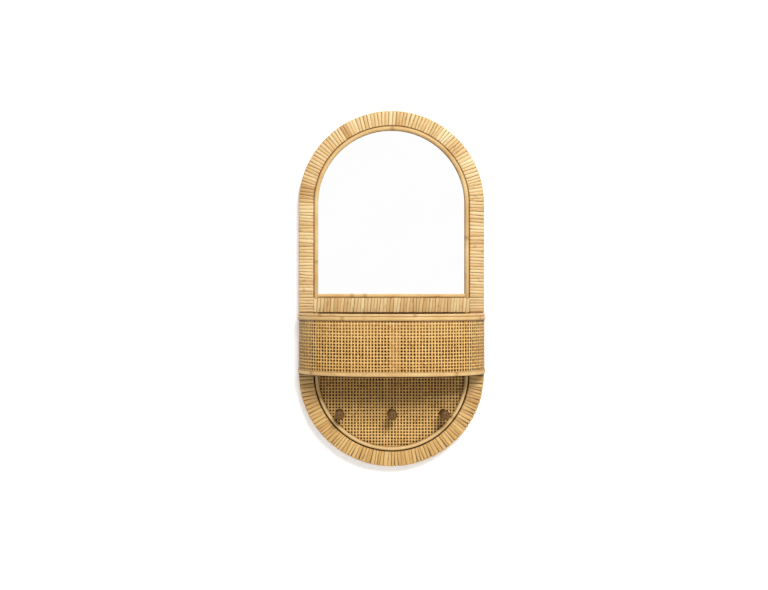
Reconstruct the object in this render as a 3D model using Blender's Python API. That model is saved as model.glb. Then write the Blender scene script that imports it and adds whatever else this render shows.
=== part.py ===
"""Rattan wall organiser: an arched mirror, a bowed cane pocket below it and three pegs.

Sizes are in metres. +X is to the right, -Y is towards the room and +Z is up. The origin is the middle of
the crossbar's back face, on the wall.
"""
import math

import bmesh
import bpy
from mathutils import Vector

# The frame: an arch over a bow, two bent wooden bands that butt at the crossbar and are wrapped in cane.
FRAME_WIDTH = 0.360
ARCH_RISE = 0.3765
BOW_DROP = 0.3135
BAND_WIDTH = 0.0292
BAND_DEPTH = 0.022
BAND_ROUNDING = 0.005
WRAP_THICKNESS = 0.0008
CROSSBAR_HEIGHT = 0.028

# Rattan poles that edge the openings from the front.
ARCH_TRIM_DIAMETER = 0.0088
SILL_TRIM_DIAMETER = 0.0077
BOW_TRIM_DIAMETER = 0.0094
TRIM_SEAM = 0.0006

# Panels inside the openings. The recess behind the mirror's backing holds the hangers.
REAR_RECESS = 0.005
MIRROR_THICKNESS = 0.003
BOARD_THICKNESS = 0.006
WEBBING_THICKNESS = 0.0016
PANEL_EDGE_GAP = 0.0005

# The pocket's weave is open. A coarse grid of openings stands for its small holes: how many across and up,
# how much of each pitch is open, and how far from the band the grid starts, clear of the end staves.
GRID_COLUMNS = 12
GRID_ROWS = 3
GRID_OPEN_SHARE = 0.47
GRID_MARGIN = 0.020

# The pocket. Its plan is a superellipse between a half-ellipse and a rectangle, and it stands out a little
# past the frame at each side.
POCKET_OVERHANG = 0.0012
POCKET_DEPTH = 0.1135
POCKET_PLAN_POWER = 2.6
POCKET_TOP_DROP = 0.0152
POCKET_HEIGHT = 0.1173
RIM_CAP_DIAMETER = 0.0052
RIM_CAP_SETBACK = 0.001
RIM_HOOP_DIAMETER = 0.008
RIM_BINDING_HEIGHT = 0.0082
BASE_BINDING_HEIGHT = 0.009
BINDING_THICKNESS = 0.0016
FLOOR_THICKNESS = 0.008
FRONT_STAVE_WIDTH = 0.017
FRONT_STAVE_THICKNESS = 0.003
END_STAVE_WIDTH = 0.012
END_STAVE_DEPTH = 0.016

# Turned pegs below the pocket, down from where the bow starts to curve and in from it at the sides. The
# profile runs from the foot to the crown.
PEG_DROP = 0.077
PEG_SIDE_MARGIN = 0.0287
PEG_LENGTH = 0.038
PEG_HEAD_DIAMETER = 0.019
PEG_PROFILE_SHARES = (
    (0.0, 0.0), (0.62, 0.0), (0.55, 0.05), (0.48, 0.3), (0.52, 0.55),
    (0.76, 0.64), (0.97, 0.75), (0.98, 0.86), (0.74, 0.95), (0.36, 0.99), (0.0, 1.0),
)

# Dowels, screws and brads.
DOWEL_DIAMETER = 0.006
DOWEL_LENGTH = 0.022
BUTT_DOWEL_LENGTH = 0.028
BUTT_DOWEL_INSET = 0.008
POCKET_SCREW_BITE = 0.0123
POCKET_SCREW_DIAMETER = 0.0035
POCKET_SCREW_HEAD_DIAMETER = 0.007
POCKET_SCREW_HEAD_HEIGHT = 0.0024
POCKET_SCREW_DROP = 0.025
SCREW_SINK = 0.0006
PEG_SCREW_LENGTH = 0.022
PEG_SCREW_DIAMETER = 0.0032
PEG_SCREW_HEAD_DIAMETER = 0.0064
PEG_SCREW_HEAD_HEIGHT = 0.002
SCREW_CROWN_SHARE = 0.7
BRAD_DIAMETER = 0.0016
BRAD_LENGTH = 0.016
BRAD_BURIED_LENGTH = 0.009
BRAD_LEG_SHARE = 0.45

# Strap hangers on the mirror's backing, each with a ring that turns in the strap's curl. They are placed
# in from the opening's side and up from where the arch starts to curve.
HANGER_INSET = 0.0558
HANGER_RISE = 0.0385
STRAP_WIDTH = 0.013
STRAP_LENGTH = 0.027
STRAP_THICKNESS = 0.0009
STRAP_CORNER = 0.004
STRAP_CURL_END_DEGREES = -115
RING_WIRE = 0.0022
RING_SIDE_GAP = 0.001
RING_SHOULDER = 0.004
RING_CORNER = 0.0024
HANGER_SCREW_LENGTH = 0.0055
HANGER_SCREW_DIAMETER = 0.0026
HANGER_SCREW_HEAD_DIAMETER = 0.0052
HANGER_SCREW_HEAD_HEIGHT = 0.0014
HANGER_SCREW_SHARES = (0.36, 0.76)

# Clearance between pieces that touch, and how far a cutter runs past a face.
FIT = 0.0003
OVERRUN = 0.002

# How finely round shapes are divided.
ARC_STEPS = 24
POCKET_STEPS = 26
CORNER_STEPS = 2
POLE_SIDES = 8
PEG_SIDES = 14
FASTENER_SIDES = 8
CURL_STEPS = 10
RING_CORNER_STEPS = 3
RING_BOW_STEPS = 8
STRAP_CORNER_STEPS = 3
SHARP_ANGLE_DEGREES = 50

X_AXIS = Vector((1, 0, 0))
Y_AXIS = Vector((0, 1, 0))
Z_AXIS = Vector((0, 0, 1))
SIDES = (("left", -1), ("right", 1))

# Places that several pieces share.
HALF_WIDTH = FRAME_WIDTH / 2
BAND_INNER = HALF_WIDTH - BAND_WIDTH
ARCH_SPRING = ARCH_RISE - HALF_WIDTH
BOW_SPRING = HALF_WIDTH - BOW_DROP
BAR_TOP = CROSSBAR_HEIGHT / 2
CORE_INSET = WRAP_THICKNESS + FIT
CORE_INNER = BAND_INNER + CORE_INSET
BACKING_BACK = -REAR_RECESS
BACKING_FRONT = BACKING_BACK - BOARD_THICKNESS
TRIM_BACK = BACKING_FRONT - FIT - MIRROR_THICKNESS - FIT
BOARD_FRONT = TRIM_BACK + FIT + WEBBING_THICKNESS + FIT
BOARD_BACK = BOARD_FRONT + BOARD_THICKNESS
POCKET_WIDTH = FRAME_WIDTH + 2 * POCKET_OVERHANG
POCKET_BACK = BAND_DEPTH + FIT
RIM_LINE = -POCKET_TOP_DROP - RIM_CAP_DIAMETER - FIT
HOOP_BOTTOM = RIM_LINE - RIM_HOOP_DIAMETER
POCKET_BOTTOM = -POCKET_TOP_DROP - POCKET_HEIGHT
POCKET_SCREW_LENGTH = POCKET_BACK - SCREW_SINK + POCKET_SCREW_BITE
FLOOR_TOP = POCKET_BOTTOM + FLOOR_THICKNESS
PEG_SPACING = math.sqrt(BAND_INNER ** 2 - PEG_DROP ** 2) - PEG_SIDE_MARGIN
HANGER_SPREAD = BAND_INNER - HANGER_INSET
HANGER_HEIGHT = ARCH_SPRING + HANGER_RISE


def clear_scene():
    for thing in list(bpy.data.objects):
        bpy.data.objects.remove(thing, do_unlink=True)


def finish_material(name, colour, roughness, metallic):
    material = bpy.data.materials.new(name)
    material.use_nodes = True
    shader = material.node_tree.nodes["Principled BSDF"]
    shader.inputs["Base Color"].default_value = (*colour, 1.0)
    shader.inputs["Roughness"].default_value = roughness
    shader.inputs["Metallic"].default_value = metallic
    return material


def add_object(name, bm, material):
    """Turn a bmesh into a named object with its faces pointing out."""
    bmesh.ops.recalc_face_normals(bm, faces=bm.faces)
    mesh = bpy.data.meshes.new(name)
    bm.to_mesh(mesh)
    bm.free()
    mesh.shade_smooth()
    mesh.set_sharp_from_angle(angle=math.radians(SHARP_ANGLE_DEGREES))
    thing = bpy.data.objects.new(name, mesh)
    bpy.context.scene.collection.objects.link(thing)
    if material:
        mesh.materials.append(material)
    return thing


def place(thing, location, direction):
    """Put an object at a location, with its local +Z along a direction."""
    thing.location = location
    thing.rotation_mode = "QUATERNION"
    thing.rotation_quaternion = direction.to_track_quat("Z", "Y")
    return thing


def as_cutter(thing):
    thing.hide_render = True
    thing.display_type = "WIRE"
    return thing


def cut(target, cutter):
    modifier = target.modifiers.new(cutter.name, "BOOLEAN")
    modifier.operation = "DIFFERENCE"
    modifier.solver = "EXACT"
    modifier.object = cutter


def rounded_section(inner, outer, front, back, radius):
    """Points round a rectangle with round corners, as (distance outward, depth)."""
    centres = (
        (outer - radius, back - radius), (inner + radius, back - radius),
        (inner + radius, front + radius), (outer - radius, front + radius),
    )
    points = []
    for quarter, (across, depth) in enumerate(centres):
        for step in range(CORNER_STEPS + 1):
            angle = math.pi / 2 * (quarter + step / CORNER_STEPS)
            points.append((across + radius * math.cos(angle), depth + radius * math.sin(angle)))
    return points


def round_section(across, along, diameter):
    """Points round a circle, with a corner on each of its four sides."""
    radius = diameter / 2
    turns = [math.tau * side / POLE_SIDES for side in range(POLE_SIDES)]
    return [(across + radius * math.cos(turn), along + radius * math.sin(turn)) for turn in turns]


def band_section(inset):
    """The frame band's section, drawn in by an inset on every side."""
    return rounded_section(
        BAND_INNER + inset, HALF_WIDTH - inset, inset - BAND_DEPTH, -inset, BAND_ROUNDING - inset)


def bar_section(inset):
    """The crossbar's section, drawn in by an inset on every side."""
    return rounded_section(
        inset - BAR_TOP, BAR_TOP - inset, inset - BAND_DEPTH, -inset, BAND_ROUNDING - inset)


def half_round_section(inner, thickness, low, high):
    """A split pole's section: flat inside, bowed outside."""
    middle = (low + high) / 2
    rise = (high - low) / 2
    points = []
    for step in range(POLE_SIDES // 2 + 1):
        angle = math.pi * (step / (POLE_SIDES // 2) - 1 / 2)
        points.append((inner + thickness * math.cos(angle), middle + rise * math.sin(angle)))
    return points


def half_ring(foot, spring, upward):
    """Stations from the left foot round the arc to the right foot, as (centre, outward) pairs."""
    stations = [(Z_AXIS * foot, -X_AXIS)]
    for step in range(ARC_STEPS + 1):
        angle = math.pi * step / ARC_STEPS
        stations.append((Z_AXIS * spring, Vector((-math.cos(angle), 0, upward * math.sin(angle)))))
    stations.append((Z_AXIS * foot, X_AXIS))
    return stations


def band_middle(height):
    """How far out the middle line of the bow's band is at a height below the crossbar."""
    below_spring = max(0, BOW_SPRING - height)
    return math.sqrt((HALF_WIDTH - BAND_WIDTH / 2) ** 2 - below_spring ** 2)


def pocket_half_width(depth):
    """Half the pocket's width, to the webbing's outer face, at a depth from the wall."""
    return POCKET_WIDTH / 2 * (1 - (depth / POCKET_DEPTH) ** POCKET_PLAN_POWER) ** (1 / POCKET_PLAN_POWER)


def pocket_stations():
    """Stations round the webbing's outer face, from the band on the left to the band on the right."""
    power = POCKET_PLAN_POWER
    start = math.asin((POCKET_BACK / POCKET_DEPTH) ** (power / 2))
    stations = []
    for step in range(POCKET_STEPS + 1):
        angle = start + (math.pi - 2 * start) * step / POCKET_STEPS
        side = -1 if step < POCKET_STEPS / 2 else 1
        across = abs(math.cos(angle)) ** (2 / power)
        forward = math.sin(angle) ** (2 / power)
        point = Vector((side * across * POCKET_WIDTH / 2, -forward * POCKET_DEPTH, 0))
        if step in (0, POCKET_STEPS):
            outward = X_AXIS * side
        else:
            slope_across = side * across ** (power - 1) / (POCKET_WIDTH / 2)
            slope_forward = -forward ** (power - 1) / POCKET_DEPTH
            outward = Vector((slope_across, slope_forward, 0)).normalized()
        stations.append((point, outward))
    return stations


def bridge(bm, here, there):
    count = len(here)
    for index in range(count):
        after = (index + 1) % count
        bm.faces.new((here[index], here[after], there[after], there[index]))


def sweep(name, stations, section, side, material, hole=None, closed=False):
    """Carry a section along stations. A hole makes a sleeve, and closed joins the last to the first."""
    bm = bmesh.new()
    skins = []
    for outline in (section, hole) if hole else (section,):
        rings = [
            [bm.verts.new(centre + outward * across + side * along) for across, along in outline]
            for centre, outward in stations
        ]
        for here, there in zip(rings, rings[1:]):
            bridge(bm, here, there)
        if closed:
            bridge(bm, rings[-1], rings[0])
        skins.append(rings)
    if hole:
        for end in (0, -1):
            bridge(bm, skins[0][end], skins[1][end])
    elif not closed:
        for end in (0, -1):
            bm.faces.new(skins[0][end])
    return add_object(name, bm, material)


def even_openings(start, end, count):
    """Where each opening of an even row begins and ends."""
    pitch = (end - start) / count
    middles = [start + pitch * (index + 1 / 2) for index in range(count)]
    half = pitch * GRID_OPEN_SHARE / 2
    return [(middle - half, middle + half) for middle in middles]


def pierced_sheet(name, run, thickness, low, high, rows, material):
    """An upright sheet along stations, with a grid of openings between two heights of its rows."""
    reaches = [0]
    for (here, _), (there, _) in zip(run, run[1:]):
        reaches.append(reaches[-1] + (there - here).length)
    across = even_openings(GRID_MARGIN, reaches[-1] - GRID_MARGIN, GRID_COLUMNS)
    up = even_openings(*rows, GRID_ROWS)
    columns = sorted(reaches + [edge for opening in across for edge in opening])
    levels = [low] + [edge for opening in up for edge in opening] + [high]

    def corner(reach, level):
        after = min(range(1, len(reaches)), key=lambda index: (reaches[index] < reach, index))
        share = (reach - reaches[after - 1]) / (reaches[after] - reaches[after - 1])
        point = run[after - 1][0].lerp(run[after][0], share)
        outward = run[after - 1][1].lerp(run[after][1], share)
        return [bm.verts.new(point - outward * depth + Z_AXIS * level) for depth in (0, thickness)]

    def solid(column, row):
        if not (0 <= column < len(columns) - 1 and 0 <= row < len(levels) - 1):
            return False
        reach = (columns[column] + columns[column + 1]) / 2
        level = (levels[row] + levels[row + 1]) / 2
        inside_column = any(start < reach < end for start, end in across)
        return not (inside_column and any(start < level < end for start, end in up))

    bm = bmesh.new()
    net = [[corner(reach, level) for level in levels] for reach in columns]
    for column in range(len(columns) - 1):
        for row in range(len(levels) - 1):
            if not solid(column, row):
                continue
            left, right = net[column], net[column + 1]
            here, after, beyond, above = left[row], right[row], right[row + 1], left[row + 1]
            for face in (0, 1):
                bm.faces.new([point[face] for point in (here, after, beyond, above)])
            sides = (
                (column, row - 1, here, after), (column + 1, row, after, beyond),
                (column, row + 1, beyond, above), (column - 1, row, above, here),
            )
            for next_column, next_row, start, end in sides:
                if not solid(next_column, next_row):
                    bm.faces.new((start[0], end[0], end[1], start[1]))
    return add_object(name, bm, material)


def prism(name, outline, reach, material):
    """Extrude a flat outline along a vector."""
    bm = bmesh.new()
    face = bm.faces.new([bm.verts.new(point) for point in outline])
    grown = bmesh.ops.extrude_face_region(bm, geom=[face])["geom"]
    moved = [item for item in grown if isinstance(item, bmesh.types.BMVert)]
    bmesh.ops.translate(bm, verts=moved, vec=reach)
    return add_object(name, bm, material)


def turned(name, profile, sides, material):
    """Turn a (radius, height) profile round local Z. It starts and ends on the axis."""
    bm = bmesh.new()
    rings = []
    for radius, height in profile[1:-1]:
        turns = [math.tau * side / sides for side in range(sides)]
        rings.append([bm.verts.new((radius * math.cos(t), radius * math.sin(t), height)) for t in turns])
    for here, there in zip(rings, rings[1:]):
        bridge(bm, here, there)
    for ring, (_, height) in ((rings[0], profile[0]), (rings[-1], profile[-1])):
        pole = bm.verts.new((0, 0, height))
        for index in range(sides):
            bm.faces.new((ring[index], ring[(index + 1) % sides], pole))
    return add_object(name, bm, material)


def rod(name, start, end, diameter, material):
    """A plain round rod between two points."""
    along = end - start
    radius = diameter / 2
    profile = ((0, 0), (radius, 0), (radius, along.length), (0, along.length))
    return place(turned(name, profile, FASTENER_SIDES, material), start, along.normalized())


def hole_for(rod_thing, start, end, diameter):
    """A cutter for a rod's hole, clear of the rod all round and past its ends by the fit."""
    ease = (end - start).normalized() * FIT
    return as_cutter(rod(rod_thing.name + "_hole", start - ease, end + ease, diameter + 2 * FIT, None))


def build_frame(wood, wrap):
    """The wooden bands and crossbar, and the cane wound round them."""
    pieces = {}
    for name, sign, spring in (("upper_arch", 1, ARCH_SPRING), ("lower_bow", -1, BOW_SPRING)):
        core_run = half_ring(sign * FIT / 2, spring, sign)
        wrap_run = half_ring(sign * (BAR_TOP + FIT), spring, sign)
        pieces[name + "_core"] = sweep(name + "_core", core_run, band_section(CORE_INSET), Y_AXIS, wood)
        pieces[name + "_wrap"] = sweep(
            name + "_wrap", wrap_run, band_section(0), Y_AXIS, wrap, hole=band_section(WRAP_THICKNESS))
    core_end = CORE_INNER - FIT
    core_run = ((-X_AXIS * core_end, Z_AXIS), (X_AXIS * core_end, Z_AXIS))
    pieces["crossbar_core"] = sweep("crossbar_core", core_run, bar_section(CORE_INSET), Y_AXIS, wood)
    wrap_end = BAND_INNER - FIT
    wrap_run = ((-X_AXIS * wrap_end, Z_AXIS), (X_AXIS * wrap_end, Z_AXIS))
    sweep("crossbar_wrap", wrap_run, bar_section(0), Y_AXIS, wrap, hole=bar_section(WRAP_THICKNESS))
    build_joint_wraps(wrap)
    return pieces


def build_joint_wraps(wrap):
    """The cane over each joint of arch, bow and crossbar. It is open where the crossbar comes in."""
    corner_points = CORNER_STEPS + 1
    shell = []
    for inset in (0, WRAP_THICKNESS):
        section = band_section(inset)
        run = [(BAND_INNER, inset - BAND_DEPTH)]
        run += section[-corner_points:] + section[:corner_points]
        run.append((BAND_INNER, -inset))
        shell.append(run)
    outline = shell[0] + shell[1][::-1]
    for name, sign in SIDES:
        run = ((-Z_AXIS * BAR_TOP, X_AXIS * sign), (Z_AXIS * BAR_TOP, X_AXIS * sign))
        sweep(name + "_joint_wrap", run, outline, Y_AXIS, wrap)


def build_trims(pole):
    """Round poles inside the two openings, and the sill pole on the crossbar."""
    runs = (
        ("arch_trim", 1, ARCH_SPRING, ARCH_TRIM_DIAMETER),
        ("lower_bow_trim", -1, BOW_SPRING, BOW_TRIM_DIAMETER),
    )
    for name, sign, spring, diameter in runs:
        section = round_section(BAND_INNER - TRIM_SEAM - diameter / 2, TRIM_BACK - diameter / 2, diameter)
        sweep(name, half_ring(sign * (BAR_TOP + FIT), spring, sign), section, Y_AXIS, pole)
    end = BAND_INNER - TRIM_SEAM - ARCH_TRIM_DIAMETER - FIT
    radius = SILL_TRIM_DIAMETER / 2
    section = round_section(BAR_TOP + TRIM_SEAM + radius, TRIM_BACK - radius, SILL_TRIM_DIAMETER)
    sweep("mirror_sill_trim", ((-X_AXIS * end, Z_AXIS), (X_AXIS * end, Z_AXIS)), section, Y_AXIS, pole)


def build_panels(glass, board, dark_board, cane):
    """The mirror on its backing in the arch, and the cane panel on its board in the bow."""
    rows = (
        ("mirror", 1, TRIM_BACK + FIT, MIRROR_THICKNESS, glass),
        ("mirror_backing", 1, BACKING_FRONT, BOARD_THICKNESS, board),
        ("lower_webbing", -1, TRIM_BACK + FIT, WEBBING_THICKNESS, cane),
        ("lower_back_board", -1, BOARD_FRONT, BOARD_THICKNESS, dark_board),
    )
    panels = {}
    for name, sign, front, thickness, material in rows:
        spring = ARCH_SPRING if sign > 0 else BOW_SPRING
        run = half_ring(sign * (BAR_TOP + PANEL_EDGE_GAP), spring, sign)
        edge = BAND_INNER - PANEL_EDGE_GAP
        outline = [centre + outward * edge + Y_AXIS * front for centre, outward in run]
        panels[name] = prism(name, outline, Y_AXIS * thickness, material)
    return panels


def build_dowels(frame, dowel_wood):
    """Two dowels hold each end of the crossbar, and one holds each butt between arch and bow."""
    middle = -Y_AXIS * BAND_DEPTH / 2
    joint = CORE_INNER - FIT / 2
    for name, sign in SIDES:
        for level, up, band in (("upper", 1, "upper_arch_core"), ("lower", -1, "lower_bow_core")):
            centre = middle + X_AXIS * sign * joint + Z_AXIS * up * BAR_TOP / 2
            reach = X_AXIS * sign * DOWEL_LENGTH / 2
            ends = (centre - reach, centre + reach)
            dowel = rod(f"{name}_{level}_bar_dowel", *ends, DOWEL_DIAMETER, dowel_wood)
            hole = hole_for(dowel, *ends, DOWEL_DIAMETER)
            cut(frame[band], hole)
            cut(frame["crossbar_core"], hole)
        centre = middle + X_AXIS * sign * (HALF_WIDTH - BUTT_DOWEL_INSET)
        reach = Z_AXIS * BUTT_DOWEL_LENGTH / 2
        ends = (centre - reach, centre + reach)
        dowel = rod(f"{name}_butt_dowel", *ends, DOWEL_DIAMETER, dowel_wood)
        hole = hole_for(dowel, *ends, DOWEL_DIAMETER)
        cut(frame["upper_arch_core"], hole)
        cut(frame["lower_bow_core"], hole)


def build_brads(frame, steel):
    """Headless nails in the bands, close behind each board, that keep the boards in."""
    lean = math.pi * (ARC_STEPS // 4 + 1 / 2) / ARC_STEPS
    boards = (
        ("backing", 1, ARCH_SPRING, BACKING_BACK, "upper_arch"),
        ("board", -1, BOW_SPRING, BOARD_BACK, "lower_bow"),
    )
    for board, upward, spring, back, band in boards:
        depth = Y_AXIS * (back + FIT + BRAD_DIAMETER / 2)
        for name, sign in SIDES:
            arc_out = Vector((sign * math.cos(lean), 0, upward * math.sin(lean)))
            rows = (
                ("leg", Z_AXIS * spring * BRAD_LEG_SHARE, X_AXIS * sign),
                ("arc", Z_AXIS * spring, arc_out),
            )
            for part, centre, outward in rows:
                tip = centre + depth + outward * (BAND_INNER + BRAD_BURIED_LENGTH)
                tail = tip - outward * BRAD_LENGTH
                brad = rod(f"{board}_brad_{name}_{part}", tail, tip, BRAD_DIAMETER, steel)
                hole = hole_for(brad, tail, tip, BRAD_DIAMETER)
                cut(frame[band + "_core"], hole)
                cut(frame[band + "_wrap"], hole)


def screw(name, under_head, direction, length, diameter, head_diameter, head_height, material):
    """A pan-head screw. Its head stands behind the point under the head."""
    radius = diameter / 2
    head = head_diameter / 2
    profile = (
        (0, -head_height), (head * SCREW_CROWN_SHARE, -head_height), (head, -head_height / 2), (head, 0),
        (radius, 0), (radius, length - diameter), (0, length),
    )
    return place(turned(name, profile, FASTENER_SIDES, material), under_head, direction)


def sunk_screw(name, head_top, direction, material):
    """A countersunk screw that holds the pocket, measured from the top of its head."""
    radius = POCKET_SCREW_DIAMETER / 2
    head = POCKET_SCREW_HEAD_DIAMETER / 2
    rim = POCKET_SCREW_HEAD_HEIGHT / 4
    profile = (
        (0, 0), (head, 0), (head, rim), (radius, POCKET_SCREW_HEAD_HEIGHT),
        (radius, POCKET_SCREW_LENGTH - POCKET_SCREW_DIAMETER), (0, POCKET_SCREW_LENGTH),
    )
    return place(turned(name, profile, FASTENER_SIDES, material), head_top, direction)


def sunk_screw_hole(name, head_top, direction):
    """The stepped hole of a countersunk screw: wide for the head, narrow for the shank."""
    head = POCKET_SCREW_HEAD_DIAMETER / 2 + FIT
    radius = POCKET_SCREW_DIAMETER / 2 + FIT
    step = POCKET_SCREW_HEAD_HEIGHT + FIT
    end = POCKET_SCREW_LENGTH + FIT
    profile = ((0, -OVERRUN), (head, -OVERRUN), (head, step), (radius, step), (radius, end), (0, end))
    return as_cutter(place(turned(name, profile, FASTENER_SIDES, None), head_top, direction))


def build_pocket(frame, pole, cane, board, wood, steel):
    """The cane pocket: webbing on a hoop, staves and a floor, with split poles over its edges."""
    run = pocket_stations()
    radius = RIM_HOOP_DIAMETER / 2
    inside = WEBBING_THICKNESS + FIT
    hoop = round_section(-inside - radius, RIM_LINE - radius, RIM_HOOP_DIAMETER)
    sweep("pocket_rim_hoop", run, hoop, Z_AXIS, pole)
    cap = RIM_CAP_DIAMETER / 2
    face = FIT + BINDING_THICKNESS
    cap_outline = round_section(face - RIM_CAP_SETBACK - cap, RIM_LINE + FIT + cap, RIM_CAP_DIAMETER)
    sweep("pocket_rim_cap", run, cap_outline, Z_AXIS, pole)
    rim_binding = half_round_section(FIT, BINDING_THICKNESS, RIM_LINE - RIM_BINDING_HEIGHT, RIM_LINE)
    sweep("pocket_rim_binding", run, rim_binding, Z_AXIS, pole)
    base_top = POCKET_BOTTOM + BASE_BINDING_HEIGHT
    base_binding = half_round_section(FIT, BINDING_THICKNESS, POCKET_BOTTOM, base_top)
    sweep("pocket_base_binding", run, base_binding, Z_AXIS, pole)
    pierced_sheet("pocket_webbing", run, WEBBING_THICKNESS, POCKET_BOTTOM, RIM_LINE,
                  (base_top, RIM_LINE - RIM_BINDING_HEIGHT), cane)
    floor = build_floor(run, inside, board)
    staves = build_staves(inside, wood)
    stave_middle = end_stave_edge(inside) - END_STAVE_WIDTH / 2
    floor_middle = POCKET_BOTTOM + FLOOR_THICKNESS / 2
    rows = (
        ("rim", stave_middle, RIM_LINE - POCKET_SCREW_DROP, None),
        ("floor", band_middle(floor_middle), floor_middle, floor),
    )
    for name, sign in SIDES:
        for level, across, height, held in rows:
            head_top = Vector((sign * across, -SCREW_SINK, height))
            sunk_screw(f"{name}_pocket_{level}_screw", head_top, -Y_AXIS, steel)
            hole = sunk_screw_hole(f"{name}_pocket_{level}_hole", head_top, -Y_AXIS)
            for target in (frame["lower_bow_core"], frame["lower_bow_wrap"], held or staves[name]):
                cut(target, hole)


def build_floor(run, inside, board):
    """The pocket's floor. It is notched round the bow's trim and reaches back to the cane panel."""
    notch_outer = BAND_INNER - FIT
    notch_inner = BAND_INNER - TRIM_SEAM - BOW_TRIM_DIAMETER - FIT
    trim_front = TRIM_BACK - BOW_TRIM_DIAMETER - FIT
    back_right = (
        (notch_outer, -POCKET_BACK), (notch_outer, trim_front),
        (notch_inner, trim_front), (notch_inner, TRIM_BACK - FIT),
    )
    outline = [point - outward * inside for point, outward in run]
    outline += [Vector((across, depth, 0)) for across, depth in back_right]
    outline += [Vector((-across, depth, 0)) for across, depth in back_right[::-1]]
    return prism("pocket_floor", [point + Z_AXIS * POCKET_BOTTOM for point in outline],
                 Z_AXIS * FLOOR_THICKNESS, board)


def end_stave_edge(inside):
    """How far out an end stave can reach at its own front corner, inside the webbing."""
    return pocket_half_width(POCKET_BACK + END_STAVE_DEPTH) - inside - FIT


def build_staves(inside, wood):
    """Upright slats inside the webbing: a flat one in front and one against each band."""
    rise = Z_AXIS * (HOOP_BOTTOM - FLOOR_TOP - 2 * FIT)
    foot = FLOOR_TOP + FIT

    def slat(name, low_x, high_x, front, back):
        corners = ((low_x, front), (high_x, front), (high_x, back), (low_x, back))
        return prism(name, [Vector((across, depth, foot)) for across, depth in corners], rise, wood)

    front = inside + FIT - POCKET_DEPTH
    half = FRONT_STAVE_WIDTH / 2
    slat("pocket_front_stave", -half, half, front, front + FRONT_STAVE_THICKNESS)
    outer = end_stave_edge(inside)
    staves = {}
    for name, sign in SIDES:
        staves[name] = slat(name + "_end_stave", sign * outer, sign * (outer - END_STAVE_WIDTH),
                            -POCKET_BACK - END_STAVE_DEPTH, -POCKET_BACK)
    return staves


def build_pegs(panels, peg_wood, steel):
    """Three turned pegs, each held through the board by a screw from behind."""
    profile = [(r * PEG_HEAD_DIAMETER / 2, h * PEG_LENGTH) for r, h in PEG_PROFILE_SHARES]
    for name, column in (("left", -1), ("middle", 0), ("right", 1)):
        axis = Vector((column * PEG_SPACING, 0, BOW_SPRING - PEG_DROP))
        peg = turned("peg_" + name, profile, PEG_SIDES, peg_wood)
        place(peg, axis + Y_AXIS * (TRIM_BACK - FIT), -Y_AXIS)
        under_head = axis + Y_AXIS * (BOARD_BACK + FIT)
        screw(f"peg_{name}_screw", under_head, -Y_AXIS, PEG_SCREW_LENGTH, PEG_SCREW_DIAMETER,
              PEG_SCREW_HEAD_DIAMETER, PEG_SCREW_HEAD_HEIGHT, steel)
        tip = under_head - Y_AXIS * (PEG_SCREW_LENGTH + FIT)
        bore = PEG_SCREW_DIAMETER + 2 * FIT
        hole = as_cutter(rod(f"peg_{name}_hole", under_head + Y_AXIS * OVERRUN, tip, bore, None))
        for target in (panels["lower_back_board"], panels["lower_webbing"], peg):
            cut(target, hole)


def strap_outline():
    """A strap's side view as (depth, height) round the ring's axis: a plate that curls over the bar."""
    inner = RING_WIRE / 2 + FIT
    outer = inner + STRAP_THICKNESS
    curl = math.radians(STRAP_CURL_END_DEGREES) - math.pi
    turns = [math.pi + curl * step / CURL_STEPS for step in range(CURL_STEPS + 1)]
    points = [(-outer, -STRAP_LENGTH)]
    points += [(outer * math.cos(turn), outer * math.sin(turn)) for turn in turns]
    points += [(inner * math.cos(turn), inner * math.sin(turn)) for turn in reversed(turns)]
    points.append((-inner, -STRAP_LENGTH))
    return points


def ring_stations():
    """Stations round a D-shaped ring whose straight bar lies on local X."""
    half = (STRAP_WIDTH + RING_WIRE) / 2 + RING_SIDE_GAP
    arcs = (
        (half - RING_CORNER, RING_CORNER, RING_CORNER, -math.pi / 2, 0, RING_CORNER_STEPS),
        (0, RING_SHOULDER, half, 0, math.pi, RING_BOW_STEPS),
        (RING_CORNER - half, RING_CORNER, RING_CORNER, math.pi, 3 * math.pi / 2, RING_CORNER_STEPS),
    )
    stations = []
    for across, height, radius, start, end, steps in arcs:
        for step in range(steps + 1):
            angle = start + (end - start) * step / steps
            outward = Vector((math.cos(angle), 0, math.sin(angle)))
            stations.append((Vector((across, 0, height)) + outward * radius, outward))
    return stations


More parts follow.
